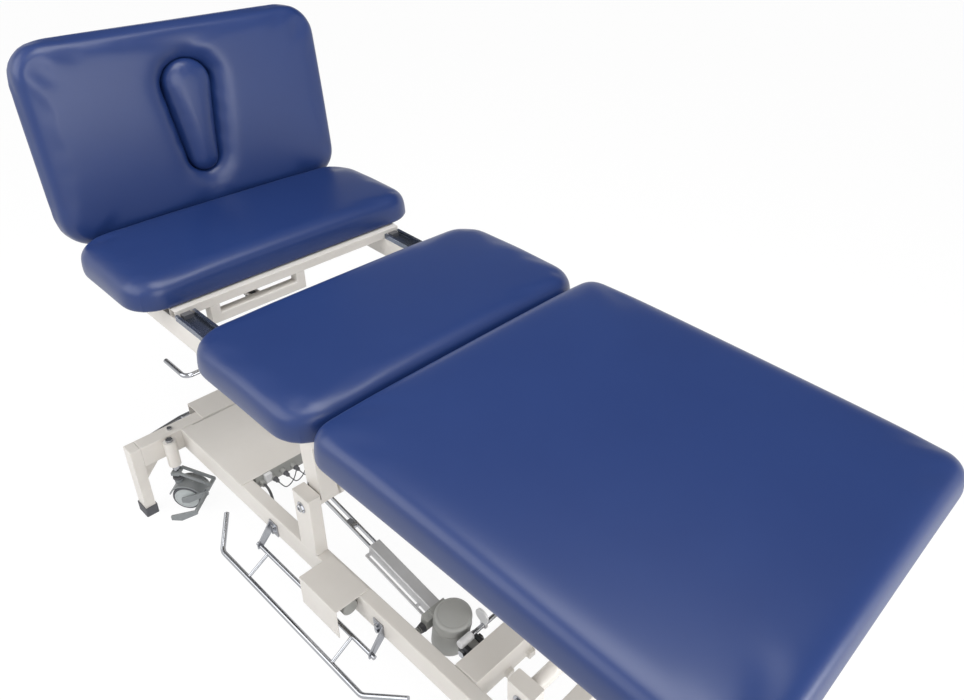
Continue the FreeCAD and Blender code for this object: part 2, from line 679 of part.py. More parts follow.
# Clevis on the drive beam: two lugs and a pin, with a nut at each end.
clevis_reach = d.drive_beam - d.clevis_x + 16
clevis_bore = rod((d.clevis_x, -d.drive_side - 40, d.clevis_z), "y", d.clevis_pin + 0.1, 80)
clevis_lugs = []
for gap in (-20, 11):
    lug = box((d.clevis_x - 16, -d.drive_side + gap, d.clevis_z - 16), (clevis_reach, 9, 32))
    clevis_lugs.append(cut(lug, clevis_bore))
pin = rod((d.clevis_x, -d.drive_side - 20, d.clevis_z), "y", d.clevis_pin, 40)
node("drive_clevis", *clevis_lugs, pin)
for nut_y in (-28, 20):
    bolts.append(hexagon((d.clevis_x, -d.drive_side + nut_y, d.clevis_z), "y", 10, 8))

# Rod over the clevis, with a nylon grip on its end and a nylon paddle.
release_x = d.clevis_x + 2
rod_start = -d.drive_side - 15
bolts.append(rod((release_x, rod_start, d.release_z), "y", d.release_rod, release_end - rod_start))
grip_cap = rounded(rod((release_x, rod_start - 18, d.release_z), "y", 9, 34), d.boot_wall, circles)
grip_bore = rod((release_x, rod_start, d.release_z), "y", d.release_rod + 0.1, 20)
paddle_y = rod_start + 47
paddle_eye = rod((release_x, paddle_y, d.release_z), "y", 9, 4)
paddle_disc = rod((release_x - 5, paddle_y, d.release_z + 22), "y", 17, 4)
paddle_bore = rod((release_x, paddle_y - 1, d.release_z), "y", d.release_rod + 0.1, 6)
node("nylon_caps", cut(grip_cap, grip_bore), cut(fuse(paddle_eye, paddle_disc), paddle_bore))

# Lead from the motor's gland along the rail to the control box.
lead_z = base_low + 12
lead_y = -rail_inner + 4
lead_x = d.clevis_x + work("cos", drive_tilt) * gland_x + work("sin", drive_tilt) * gland_z
lead_high = d.clevis_z - work("sin", drive_tilt) * gland_x + work("cos", drive_tilt) * gland_z
node("motor_lead", bent_rod([
    (lead_x, -d.drive_side - 52.3, lead_high), (lead_x, lead_y, lead_high),
    (lead_x - 70, lead_y, lead_z), (d.plate_foot + 76, lead_y, lead_z),
    (d.plate_foot + 40, lead_plug_y, d.base_top - 19), (d.plate_foot + 14.3, lead_plug_y, d.base_top - 19),
], 3, 10))
for side_name, side in SIDES:
    for station in (-348, 68):
        bolt_x = station + 17 if station < 0 else station - 14
        for bolt_z in (164, 180):
            bolt_y = low_side(side, d.rail_outer + 3, d.rail_outer + 8)
            bolts.append(hexagon((bolt_x, bolt_y, bolt_z), "y", 5.5, 5))
bolts.append(rod((-778, -234, d.base_top), "z", 6, 5))
node("base_bolts", *bolts)

# Top frame: side rails with hinge lugs, pivot beams, pad supports and the spring hanger.
side_inner = d.side_outer - d.side_wide
side_long = d.side_head + d.side_foot
side_low = rail_top - d.side_high
lever_z = side_low - d.lever_low
frame_rails = []
for side_name, side in SIDES:
    rail_at = (-d.side_head, low_side(side, side_inner, d.side_outer), side_low)
    rail = tube("x", rail_at, (side_long, d.side_wide, d.side_high), d.tube_wall)
    lug_y = side * d.lug_side - d.lug_thick / 2
    lug_at = (hinge_x - d.lug_half, lug_y, rail_top)
    lug = box(lug_at, (2 * d.lug_half, d.lug_thick, hinge_z - rail_top))
    lug_top = rod((hinge_x, lug_y, hinge_z), "y", d.lug_half, d.lug_thick)
    lug_bore = rod((hinge_x, lug_y - 1, hinge_z), "y", d.hinge_pin + 0.05, d.lug_thick + 2)
    parts = [rail, lug, lug_top]
    tools = [lug_bore]
    if side < 0:
        parts.append(box((d.lever_x - 14, -d.side_outer, lever_z - 14), (28, 22, side_low - lever_z + 14)))
        tools.append(rod((d.lever_x, -d.side_outer - 1, lever_z), "y", d.lever_rod + 0.1, 24))
    frame_rails.append(cut(fuse(*parts), *tools))
node("frame_rails", *frame_rails)

pivot_beams = []
pivot_shafts = []
for post_name, post_x in posts:
    beam_x = post_x - swing_x
    beam_at = (beam_x - d.cross_wide / 2, -side_inner, rail_top - d.cross_high)
    parts = [tube("y", beam_at, (d.cross_wide, 2 * side_inner, d.cross_high), d.tube_wall)]
    lug_low = top_pivot_z - 18
    lug_high = rail_top - d.cross_high - lug_low
    outer_y = arm_sides[post_name] + 0.8
    inner_y = arm_sides[post_name] - d.arm_thick - 0.8
    for lug_y in (-outer_y - d.pivot_lug, -inner_y, inner_y - d.pivot_lug, outer_y):
        parts.append(box((beam_x - 18, lug_y, lug_low), (36, d.pivot_lug, lug_high)))
    bore = rod((beam_x, -220, top_pivot_z), "y", d.pivot_shaft + 0.05, 440)
    pivot_beams.append(cut(fuse(*parts), bore))
    pivot_shafts.append(rod((beam_x, -outer_y - 14, top_pivot_z), "y", d.pivot_shaft, 2 * outer_y + 28))
node("pivot_beams", *pivot_beams)

front_bar = lumbar_end + d.bar_show - d.support_wide
rear_bar = lumbar_x + 2
supports = []
for bar_x in (rear_bar, front_bar, leg_x + 55, leg_x + 370, leg_x + 660):
    bar_at = (bar_x, -d.side_outer, rail_top)
    supports.append(tube("y", bar_at, (d.support_wide, 2 * d.side_outer, d.support_high), d.tube_wall / 2))
node("pad_supports", *supports)

hang_low = rail_top - d.hanger_depth
hang_wide = d.hanger_left + d.hanger_right
hang_rise = d.hanger_depth - d.hanger_bar
pieces = [box((front_bar, -d.hanger_left, hang_low), (d.support_wide, hang_wide, d.hanger_bar))]
for upright_y in (-d.hanger_left, d.hanger_right - 22):
    pieces.append(box((front_bar, upright_y, hang_low + d.hanger_bar), (d.support_wide, 22, hang_rise)))
spring_x = front_bar - d.spring_pin_back
spring_z = hang_low + d.hanger_bar / 2
for ear_y in (-13, 8):
    pieces.append(box((spring_x - 9, -d.crank_side + ear_y, hang_low), (d.spring_pin_back + 9, 5, d.hanger_bar)))
ear_bore = rod((spring_x, -d.crank_side - 20, spring_z), "y", 4.05, 40)
node("spring_hanger", cut(fuse(*pieces), ear_bore))
spring_pin = rod((spring_x, -d.crank_side - 15, spring_z), "y", 4, 30)
hinge_pins = []
for side in (-1, 1):
    pin_at = (hinge_x, low_side(side, d.plate_side - 6, d.lug_side + 6), hinge_z)
    hinge_pins.append(rod(pin_at, "y", d.hinge_pin, d.lug_side - d.plate_side + 12))
node("frame_pins", *pivot_shafts, *hinge_pins, spring_pin)

# Upholstered pads that stay on the top frame, each with its board.
def pad(pad_x, long, wide):
    return cushion((pad_x, -wide / 2, pad_low), (long, wide, d.pad_thick), d.pad_corner, d.pad_round)


def board(pad_x, long, wide, inset):
    at = (pad_x + inset, inset - wide / 2, board_low)
    return cushion(at, (long - 2 * inset, wide - 2 * inset, d.board_thick), d.pad_corner - inset)


node("pad_lumbar", pad(lumbar_x, d.lumbar_long, d.lumbar_wide))
node("pad_leg", pad(leg_x, d.leg_long, d.pad_wide))
lumbar_board = board(lumbar_x, d.lumbar_long, d.lumbar_wide, d.board_inset)
node("frame_boards", lumbar_board, board(leg_x, d.leg_long, d.pad_wide, d.board_inset))

# Telescopic slides for the rolling section.
slide_x = front_bar + d.support_wide + 1
slide_long = roll_end - slide_x
half_slide = d.slide_wide / 2
slide_mid = side_inner + d.side_wide / 2
channels = []
bumpers = []
runners = []
cages = []
for side_name, side in SIDES:
    lip = 6
    middle = side * slide_mid
    floor_z = rail_top + d.slide_sheet
    top_z = rail_top + d.slide_high
    profile = [
        (middle - half_slide, rail_top), (middle + half_slide, rail_top), (middle + half_slide, top_z),
        (middle + half_slide - lip, top_z), (middle + half_slide - lip, top_z - d.slide_sheet),
        (middle + half_slide - d.slide_sheet, top_z - d.slide_sheet),
        (middle + half_slide - d.slide_sheet, floor_z), (middle - half_slide + d.slide_sheet, floor_z),
        (middle - half_slide + d.slide_sheet, top_z - d.slide_sheet),
        (middle - half_slide + lip, top_z - d.slide_sheet), (middle - half_slide + lip, top_z),
        (middle - half_slide, top_z),
    ]
    channels.append(prism("YZ_Plane", profile, slide_x, slide_long))
    bumpers.append(box((slide_x, middle - 10, floor_z), (14, 20, d.slide_high - d.slide_sheet)))
    half_run = d.runner_wide / 2
    run_low = floor_z + 0.3
    run_top = rail_top + d.runner_rise
    hat = [
        (middle - half_run, run_low), (middle - half_run + 2, run_low), (middle - half_run + 2, run_top - 3),
        (middle + half_run - 2, run_top - 3), (middle + half_run - 2, run_low), (middle + half_run, run_low),
        (middle + half_run, run_top), (middle - half_run, run_top),
    ]
    runners.append(prism("YZ_Plane", hat, roll_x + d.runner_inset, d.roll_long - d.runner_inset - 5))
    for edge in (-1, 1):
        cage_mid = middle + edge * (half_slide - d.slide_sheet - d.cage_wide / 2 - 0.6)
        cage_at = (roll_x - 60, cage_mid - d.cage_wide / 2, floor_z + 0.6)
        cages.append(box(cage_at, (d.cage_long, d.cage_wide, d.slide_high - 2 * d.slide_sheet - 1.2)))
node("slide_channels", *channels)
node("slide_bumpers", *bumpers)
node("slide_cages", *cages)
node("slide_runners", *runners)
carriage_high = d.support_high - d.runner_rise
carriage = []
for bar_x in (roll_x + 44, roll_end - 60):
    bar_at = (bar_x, -d.side_outer + 8, rail_top + d.runner_rise)
    carriage.append(box(bar_at, (40, 2 * d.side_outer - 16, carriage_high)))
node("carriage_bars", *carriage)
node("pad_rolling", pad(roll_x, d.roll_long, d.pad_wide))
node("board_rolling", board(roll_x, d.roll_long, d.pad_wide, d.roll_inset))

# Lever that locks the rolling section.
node("lock_lever", bent_rod([
    (d.lever_x, -d.side_outer + 24, lever_z), (d.lever_x, -d.lever_side, lever_z),
    (d.lever_x - d.lever_grip, -d.lever_side, lever_z),
], d.lever_rod, 14))

# Back section, drawn flat about its hinge line and then raised.
back_place = {"at": (hinge_x, 0, hinge_z), "axis": "y", "angle": d.back_angle}
back_low = d.hinge_deep - d.pad_thick
back_far = d.hinge_inset - d.back_long
back_size = (d.back_long, d.back_wide, d.pad_thick)
back_pad = cushion((back_far, -d.back_wide / 2, back_low), back_size, d.pad_corner, d.pad_round)
notches = []
for side in (-1, 1):
    notch_y = side * (d.lug_side + d.plate_side) / 2 - d.notch_wide / 2
    notch_size = (d.hinge_inset + d.lug_half + 4, d.notch_wide, d.lug_half + 2 - back_low + 1)
    notches.append(box((-d.lug_half - 2, notch_y, back_low - 1), notch_size))
far_x = d.hinge_inset - d.face_far
near_x = d.hinge_inset - d.face_near
face_hole = teardrop(far_x, near_x, d.face_big, d.face_small, back_low - 2, d.hinge_deep + 2)
node("pad_back", cut(back_pad, *notches, face_hole), **back_place)
plug_big = d.face_big - d.face_gap
plug_small = d.face_small - d.face_gap
plug = teardrop(far_x, near_x, plug_big, plug_small, back_low + 0.3, d.hinge_deep + 1)
plug_top = number(d.hinge_deep) + 0.9
node("face_plug", rounded(plug, d.pad_round * 0.3, lambda e: e.BoundBox.ZMin > plug_top), **back_place)
board_long = d.back_long - d.hinge_inset - d.lug_half - 6 - d.roll_inset
board_at = (back_far + d.roll_inset, d.board_inset - d.back_wide / 2, back_low - d.board_thick)
board_size = (board_long, d.back_wide - 2 * d.board_inset, d.board_thick)
back_board = cushion(board_at, board_size, d.pad_corner - d.board_inset)
ledge = 6
board_hole = (d.face_big - ledge, d.face_small - ledge, back_low - d.board_thick - 2, back_low + 2)
face_board = teardrop(far_x, near_x, *board_hole)
node("board_back", cut(back_board, face_board), **back_place)

tube_top = back_low - d.board_thick
tube_low = tube_top - d.back_tube
frame_pieces = []
for side in (-1, 1):
    plate_y = side * d.plate_side - d.lug_thick / 2
    plate_at = (-d.lug_half, plate_y, tube_low)
    upright = box(plate_at, (2 * d.lug_half, d.lug_thick, d.lug_half - tube_low))
    runner_at = (-d.back_tube_long, plate_y, tube_low)
    runner = box(runner_at, (d.back_tube_long, d.lug_thick, d.back_tube))
    bore = rod((0, plate_y - 1, 0), "y", d.hinge_pin + 0.1, d.lug_thick + 2)
    frame_pieces.append(cut(fuse(upright, runner), bore))
inner_half = d.plate_side - d.lug_thick / 2
for bar_x in (-70, -d.back_tube_long):
    bar_at = (bar_x, -inner_half, tube_low)
    frame_pieces.append(tube("y", bar_at, (d.back_tube, 2 * inner_half, d.back_tube), d.tube_wall / 2))
crank = [
    (-70, tube_low), (-46, tube_low), (d.crank_out + 6, 12 - d.crank_down), (d.crank_out + 13, -d.crank_down),
    (d.crank_out + 6, -12 - d.crank_down), (d.crank_out - 8, -12 - d.crank_down),
]
crank_bore = rod((d.crank_out, -d.crank_side - 30, -d.crank_down), "y", 5.2, 60)
cranks = [prism("XZ_Plane", crank, -d.crank_side + gap, 5) for gap in (-15, 10)]
frame_pieces += [cut(plate, crank_bore) for plate in cranks]
node("back_frame", *frame_pieces, **back_place)

# Gas spring between the hanger and the back section's crank.
turn_cos = work("cos", d.back_angle)
turn_sin = work("sin", d.back_angle)
eye_x = hinge_x + d.crank_out * turn_cos - d.crank_down * turn_sin
eye_z = hinge_z - d.crank_out * turn_sin - d.crank_down * turn_cos
spring_run = spring_x - eye_x
spring_rise = eye_z - spring_z
spring_long = work("sqrt", spring_run * spring_run + spring_rise * spring_rise)
spring_tilt = work("atan", spring_rise / spring_run)
spring_place = {"at": (spring_x, -d.crank_side, spring_z), "axis": "y", "angle": spring_tilt}
case = rod((-d.spring_case, 0, 0), "x", d.spring_radius, d.spring_case - 16)
case_neck = rod((-20, 0, 0), "x", 5, 14)
case_eye = rod((0, -6.5, 0), "y", 8.5, 13)
case_bore = rod((-d.spring_case - 1, 0, 0), "x", d.spring_rod + 0.3, d.spring_case - 30)
pin_hole = rod((0, -10, 0), "y", 4.1, 20)
node("gas_cylinder", cut(fuse(case, case_neck, case_eye), case_bore, pin_hole), **spring_place)
piston = rod((4 - spring_long, 0, 0), "x", d.spring_rod, spring_long - d.spring_case + 16)
piston_eye = rod((-spring_long, -7, 0), "y", 9, 14)
piston_bore = rod((-spring_long, -10, 0), "y", 4, 20)
node("gas_rod", cut(fuse(piston, piston_eye), piston_bore), **spring_place)

# Check every piece and write it out.
doc.recompute()
for thing in doc.Objects:
    if "Invalid" in thing.State or "Error" in thing.State:
        raise RuntimeError(f"{thing.Label} did not build: {thing.State}")
for made in NODES:
    shape = made.Shape
    if shape.isNull() or not shape.isValid() or not shape.Solids:
        raise RuntimeError(f"{made.Label} has no sound shape")
    made.Shape.exportStep(f"parts/{made.Label}.step")
    room = shape.BoundBox
    print(f"{made.Label}: {len(shape.Solids)} solids, X {room.XMin:.1f} to {room.XMax:.1f}, "
          f"Y {room.YMin:.1f} to {room.YMax:.1f}, Z {room.ZMin:.1f} to {room.ZMax:.1f}")
print(len(NODES), "sub-parts")
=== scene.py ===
# %% [markdown]
# # Dressing a traction table
# The table is a treatment couch with four padded sections on a cream steel lift frame.
# The frame below brings in every rigid piece at its true place, and tells where the hinges
# are. This lesson gives the pieces their finishes, makes the soft pads, and adds the small
# forms that a plain solid lacks. All lengths are in metres.

import json
import math

import bmesh
import bpy
from mathutils import Matrix, Vector


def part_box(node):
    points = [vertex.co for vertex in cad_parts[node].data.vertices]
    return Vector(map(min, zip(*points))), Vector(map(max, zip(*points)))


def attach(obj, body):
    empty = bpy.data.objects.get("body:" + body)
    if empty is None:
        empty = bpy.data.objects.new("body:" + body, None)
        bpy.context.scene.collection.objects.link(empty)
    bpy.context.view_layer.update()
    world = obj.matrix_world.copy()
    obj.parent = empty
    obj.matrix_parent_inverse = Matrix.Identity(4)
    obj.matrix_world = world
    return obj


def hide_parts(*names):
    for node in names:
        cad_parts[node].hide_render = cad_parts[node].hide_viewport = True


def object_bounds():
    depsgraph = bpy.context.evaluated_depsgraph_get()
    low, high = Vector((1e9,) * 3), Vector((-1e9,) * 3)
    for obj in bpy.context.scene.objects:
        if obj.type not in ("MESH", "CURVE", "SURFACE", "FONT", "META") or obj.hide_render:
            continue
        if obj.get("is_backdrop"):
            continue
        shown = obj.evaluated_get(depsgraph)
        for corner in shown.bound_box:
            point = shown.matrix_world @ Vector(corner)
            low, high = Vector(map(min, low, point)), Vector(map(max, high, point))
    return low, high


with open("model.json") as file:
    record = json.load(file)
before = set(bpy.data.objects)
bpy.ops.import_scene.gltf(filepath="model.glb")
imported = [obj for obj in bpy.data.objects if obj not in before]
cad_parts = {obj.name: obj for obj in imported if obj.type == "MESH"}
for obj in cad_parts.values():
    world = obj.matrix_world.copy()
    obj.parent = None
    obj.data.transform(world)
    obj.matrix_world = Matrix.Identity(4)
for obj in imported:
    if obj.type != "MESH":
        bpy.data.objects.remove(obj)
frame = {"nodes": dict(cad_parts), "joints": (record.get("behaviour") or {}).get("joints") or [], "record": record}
nodes = frame["nodes"]
hinges = [joint for joint in frame["joints"] if joint["type"] == "hinge"]
hinge_at = {hinge["name"]: Vector(hinge["pos_m"]) for hinge in hinges}
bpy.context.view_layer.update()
print("pieces in the frame:", len(nodes))

# %% [markdown]
# ## The viewing angle
# The picture was taken from above the foot end's left corner with a short lens. A camera
# could be placed by eye, but the table has many straight edges, so its place was solved
# from them. The two directions below are the picture's right and the way the camera looks.

# %% Set the camera
PICTURE_WIDE, PICTURE_HIGH = 964, 700
LENS_PIXELS = 837.357
LENS_CENTRE = (580.167, 283.783)
SENSOR_WIDE = 36
EYE_AT = (1.0501, -0.8317, 1.6621)
eye_right = Vector((0.75228, 0.65728, 0.04539)).normalized()
eye_view = Vector((-0.54956, 0.66401, -0.50702)).normalized()
eye_up = eye_right.cross(eye_view).normalized()

camera_data = bpy.data.cameras.new("picture_camera")
camera_data.sensor_width = SENSOR_WIDE
camera_data.lens = SENSOR_WIDE * LENS_PIXELS / PICTURE_WIDE
camera_data.shift_x = (PICTURE_WIDE / 2 - LENS_CENTRE[0]) / PICTURE_WIDE
camera_data.shift_y = (LENS_CENTRE[1] - PICTURE_HIGH / 2) / PICTURE_WIDE
camera = bpy.data.objects.new("picture_camera", camera_data)
bpy.context.scene.collection.objects.link(camera)
camera_turn = Matrix((eye_right, eye_up, -eye_view)).transposed().to_4x4()
camera.matrix_world = Matrix.Translation(EYE_AT) @ camera_turn
bpy.context.scene.camera = camera
bpy.context.scene.view_settings.view_transform = "Standard"
print("lens:", round(camera_data.lens, 2), "mm")

# %% [markdown]
# ## Small helpers for nodes
# A finish is a tree of nodes. Placing a node, setting it and joining it takes several
# lines each time, so one helper does all three. A second helper starts an effect: a
# node group with named sockets that several finishes share.

# %% Node helpers
def place(tree, kind, joins=None, **settings):
    """Places a node, sets its properties, and fills or joins its inputs."""
    made = tree.nodes.new(kind)
    for name, value in settings.items():
        setattr(made, name, value)
    for socket, value in (joins or {}).items():
        if isinstance(value, bpy.types.NodeSocket):
            tree.links.new(value, made.inputs[socket])
        else:
            made.inputs[socket].default_value = value
    return made


def start_effect(name, takes, gives):
    """An empty group with number sockets; returns the group and its two end nodes."""
    group = bpy.data.node_groups.new(name, "ShaderNodeTree")
    kind = "NodeSocketFloat"
    for label, value in takes.items():
        socket = group.interface.new_socket(name=label, in_out="INPUT", socket_type=kind)
        socket.default_value = value
    for label in gives:
        group.interface.new_socket(name=label, in_out="OUTPUT", socket_type=kind)
    return group, group.nodes.new("NodeGroupInput"), group.nodes.new("NodeGroupOutput")


def use_effect(tree, group, **values):
    """Places a group in a finish, with values for its inputs by name."""
    made = tree.nodes.new("ShaderNodeGroup")
    made.node_tree = group
    for label, value in values.items():
        made.inputs[label].default_value = value
    return made


print("node helpers ready")

# %% [markdown]
# ## Effects that the finishes share
# Four things happen to nearly every surface here: its colour drifts a little from place
# to place, it has a fine grain, its edges rub bright or bare, and dust settles where it
# faces up. On the slides the bright edge colour is partly wear and partly a painted
# highlight. Each is a group that gives out a mask or a height, and each finish sets how
# strong it is.

# %% Colour drift
drift, drift_in, drift_out = start_effect(
    "colour drift", {"Scale": 6.0}, ("Mask",))
where = place(drift, "ShaderNodeTexCoord")
cloud = place(drift, "ShaderNodeTexNoise", {
    "Vector": where.outputs["Object"], "Scale": drift_in.outputs["Scale"],
    "Detail": 5.0, "Roughness": 0.6})
spread = place(drift, "ShaderNodeMapRange", {
    "Value": cloud.outputs["Fac"], "From Min": 0.3, "From Max": 0.7})
drift.links.new(spread.outputs["Result"], drift_out.inputs["Mask"])
print("made", drift.name)

# %% Fine grain
grain, grain_in, grain_out = start_effect(
    "fine grain", {"Scale": 900.0, "Pebble": 0.5}, ("Height", "Mask"))
where = place(grain, "ShaderNodeTexCoord")
speck = place(grain, "ShaderNodeTexNoise", {
    "Vector": where.outputs["Object"], "Scale": grain_in.outputs["Scale"], "Detail": 3.0})
pebble = place(grain, "ShaderNodeTexVoronoi", {
    "Vector": where.outputs["Object"], "Scale": grain_in.outputs["Scale"]},
    feature="SMOOTH_F1")
both = place(grain, "ShaderNodeMix", {
    "Factor": grain_in.outputs["Pebble"], "A": speck.outputs["Fac"],
    "B": pebble.outputs["Distance"]})
grain.links.new(both.outputs["Result"], grain_out.inputs["Height"])
grain.links.new(speck.outputs["Fac"], grain_out.inputs["Mask"])
print("made", grain.name)

# %% Edge wear, and a painted edge highlight on the slides
edge_wear_and_highlight, edge_wear_and_highlight_in, edge_wear_and_highlight_out = start_effect(
    "edge wear and highlight", {"Width": 0.002, "Break up": 60.0}, ("Mask",))
where = place(edge_wear_and_highlight, "ShaderNodeTexCoord")
rounded_off = place(edge_wear_and_highlight, "ShaderNodeBevel", {"Radius": edge_wear_and_highlight_in.outputs["Width"]}, samples=4)
true_face = place(edge_wear_and_highlight, "ShaderNodeNewGeometry")
same = place(edge_wear_and_highlight, "ShaderNodeVectorMath", {
    0: rounded_off.outputs["Normal"], 1: true_face.outputs["Normal"]}, operation="DOT_PRODUCT")
corner = place(edge_wear_and_highlight, "ShaderNodeMapRange", {
    "Value": same.outputs["Value"], "From Min": 0.98, "From Max": 0.8})
patch = place(edge_wear_and_highlight, "ShaderNodeTexNoise", {
    "Vector": where.outputs["Object"], "Scale": edge_wear_and_highlight_in.outputs["Break up"], "Detail": 4.0})
patchy = place(edge_wear_and_highlight, "ShaderNodeMapRange", {
    "Value": patch.outputs["Fac"], "From Min": 0.42, "From Max": 0.62})
edge_wear_and_highlight_mask = place(edge_wear_and_highlight, "ShaderNodeMath", {
    0: corner.outputs["Result"], 1: patchy.outputs["Result"]}, operation="MULTIPLY")
edge_wear_and_highlight.links.new(edge_wear_and_highlight_mask.outputs["Value"], edge_wear_and_highlight_out.inputs["Mask"])
print("made", edge_wear_and_highlight.name)

# %% Settled dust
dust, dust_in, dust_out = start_effect(
    "settled dust", {"Scale": 25.0, "Amount": 0.5}, ("Mask",))
where = place(dust, "ShaderNodeTexCoord")
face = place(dust, "ShaderNodeNewGeometry")
parts = place(dust, "ShaderNodeSeparateXYZ", {"Vector": face.outputs["Normal"]})
upward = place(dust, "ShaderNodeMapRange", {
    "Value": parts.outputs["Z"], "From Min": 0.3, "From Max": 1.0})
film = place(dust, "ShaderNodeTexNoise", {
    "Vector": where.outputs["Object"], "Scale": dust_in.outputs["Scale"], "Detail": 6.0})
thin = place(dust, "ShaderNodeMath", {
    0: upward.outputs["Result"], 1: film.outputs["Fac"]}, operation="MULTIPLY")
held = place(dust, "ShaderNodeMath", {
    0: thin.outputs["Value"], 1: dust_in.outputs["Amount"]}, operation="MULTIPLY", use_clamp=True)
dust.links.new(held.outputs["Value"], dust_out.inputs["Mask"])
print("made", dust.name)

# %% [markdown]
# ## Finishes
# One recipe builds every finish: a main colour that drifts towards a second one, edges
# that rub towards a third (on the slides partly a painted highlight), a dust tone on top,
# a roughness that changes with the grain, and a bump from the same grain. What stays the
# same all over a surface, such as metal or the coat's gloss, is set straight on the shader.

# %% Build a finish
def colour_towards(tree, mask, first, second):
    """A colour that moves from one tone to another by a mask."""
    mixed = place(tree, "ShaderNodeMix", {"Factor": mask}, data_type="RGBA")
    for socket, value in ((mixed.inputs[6], first), (mixed.inputs[7], second)):
        if isinstance(value, bpy.types.NodeSocket):
            tree.links.new(value, socket)
        else:
            socket.default_value = (*value, 1)
    return mixed.outputs[2]


def make_finish(name, main, second, edge_wear_and_highlight_tone, dusty, rough, depth, grain_size,
                drift_size=6.0, pebble=0.2, edge=0.0015, dirt=0.3, **shader_values):
    """A procedural finish. rough is a range, depth and grain_size are in metres."""
    made = bpy.data.materials.new(name)
    made.use_nodes = True
    tree = made.node_tree
    shader = tree.nodes["Principled BSDF"]
    tones = use_effect(tree, drift, Scale=drift_size)
    texture = use_effect(tree, grain, Scale=1 / grain_size, Pebble=pebble)
    edges = use_effect(tree, edge_wear_and_highlight, Width=edge)
    settled = use_effect(tree, dust, Amount=dirt)
    colour = colour_towards(tree, tones.outputs["Mask"], main, second)
    colour = colour_towards(tree, edges.outputs["Mask"], colour, edge_wear_and_highlight_tone)
    colour = colour_towards(tree, settled.outputs["Mask"], colour, dusty)
    tree.links.new(colour, shader.inputs["Base Color"])
    gloss = place(tree, "ShaderNodeMapRange", {
        "Value": texture.outputs["Mask"], "From Min": 0.25, "From Max": 0.75,
        "To Min": rough[0], "To Max": rough[1]})
    tree.links.new(gloss.outputs["Result"], shader.inputs["Roughness"])
    bump = place(tree, "ShaderNodeBump", {
        "Height": texture.outputs["Height"], "Strength": 0.6, "Distance": depth})
    tree.links.new(bump.outputs["Normal"], shader.inputs["Normal"])
    for socket, value in shader_values.items():
        shader.inputs[socket.replace("_", " ")].default_value = value
    return made


print("finish recipe ready")

# %% [markdown]
# The steel is powder coated in a warm ivory with a slight orange-peel skin. The pads wear
# a smooth navy vinyl with a fine pebble and a broad soft sheen. Bars and bolts are
# chromed, brackets are zinc plated and the slides are blued. The slides' bright edges are
# partly rub wear and partly a painted highlight. The rest is aluminium, moulded plastic,
# rubber and board.

# %% Paint and vinyl
FINISHES = {}
FINISHES["cream_paint"] = make_finish(
    "ivory powder coat", (0.735, 0.705, 0.665), (0.70, 0.665, 0.62), (0.80, 0.78, 0.75),
    (0.63, 0.60, 0.55), (0.34, 0.46), 0.00012, 0.0011, edge=0.002, dirt=0.25)
FINISHES["dark_paint"] = make_finish(
    "dark slate paint", (0.035, 0.037, 0.042), (0.05, 0.052, 0.056), (0.18, 0.18, 0.19),
    (0.12, 0.12, 0.12), (0.36, 0.5), 0.0001, 0.001)
FINISHES["vinyl"] = make_finish(
    "navy vinyl", (0.0118, 0.0310, 0.128), (0.0136, 0.0350, 0.139), (0.02, 0.044, 0.16),
    (0.03, 0.052, 0.16), (0.33, 0.41), 0.00006, 0.0011, drift_size=4.0, pebble=0.7,
    edge=0.003, dirt=0.04, IOR=1.45, Coat_Weight=0.14, Coat_Roughness=0.26)
print("finishes:", sorted(FINISHES))

# %% Metals
FINISHES["chrome"] = make_finish(
    "bright chrome", (0.45, 0.46, 0.485), (0.36, 0.37, 0.395), (0.62, 0.62, 0.64),
    (0.34, 0.34, 0.34), (0.06, 0.14), 0.00001, 0.002, dirt=0.1, Metallic=1.0)
FINISHES["zinc_steel"] = make_finish(
    "zinc plate", (0.42, 0.43, 0.455), (0.33, 0.34, 0.37), (0.6, 0.6, 0.61),
    (0.27, 0.26, 0.25), (0.24, 0.42), 0.00003, 0.0016, drift_size=30.0, Metallic=1.0)
FINISHES["aluminium"] = make_finish(
    "drawn aluminium", (0.62, 0.62, 0.63), (0.56, 0.56, 0.57), (0.76, 0.76, 0.77),
    (0.42, 0.41, 0.39), (0.3, 0.42), 0.00003, 0.0009, drift_size=18.0, Metallic=0.3)
# Painted highlight: the slides' pale edge colour, on a wide band, is partly rubbed bare steel and partly paint
# standing in for the bright lines along their lips.
blued_slides_painted_highlights = make_finish(
    "slide steel, blued, painted edge highlights", (0.16, 0.185, 0.24), (0.11, 0.13, 0.175), (0.62, 0.66, 0.74),
    (0.2, 0.21, 0.24), (0.2, 0.34), 0.00003, 0.0012, drift_size=24.0, edge=0.003, Metallic=0.85)
print("finishes:", sorted(FINISHES))

# %% Plastics, rubber and board
FINISHES["grey_plastic"] = make_finish(
    "grey moulded plastic", (0.37, 0.372, 0.355), (0.335, 0.338, 0.323), (0.47, 0.47, 0.46),
    (0.41, 0.40, 0.385), (0.36, 0.5), 0.00008, 0.0008)
FINISHES["caster_grey"] = make_finish(
    "pale caster plastic", (0.47, 0.50, 0.505), (0.43, 0.46, 0.465), (0.58, 0.60, 0.61),
    (0.36, 0.36, 0.34), (0.36, 0.5), 0.00006, 0.0008, dirt=0.5)
hood_plastic = make_finish(
    "slate caster plastic", (0.235, 0.25, 0.258), (0.205, 0.22, 0.228), (0.38, 0.4, 0.41),
    (0.25, 0.25, 0.24), (0.34, 0.48), 0.00006, 0.0008, dirt=0.5)
FINISHES["rubber"] = make_finish(
    "dark rubber", (0.075, 0.077, 0.088), (0.09, 0.092, 0.103), (0.14, 0.14, 0.15),
    (0.15, 0.145, 0.14), (0.55, 0.75), 0.00015, 0.0012, dirt=0.6)
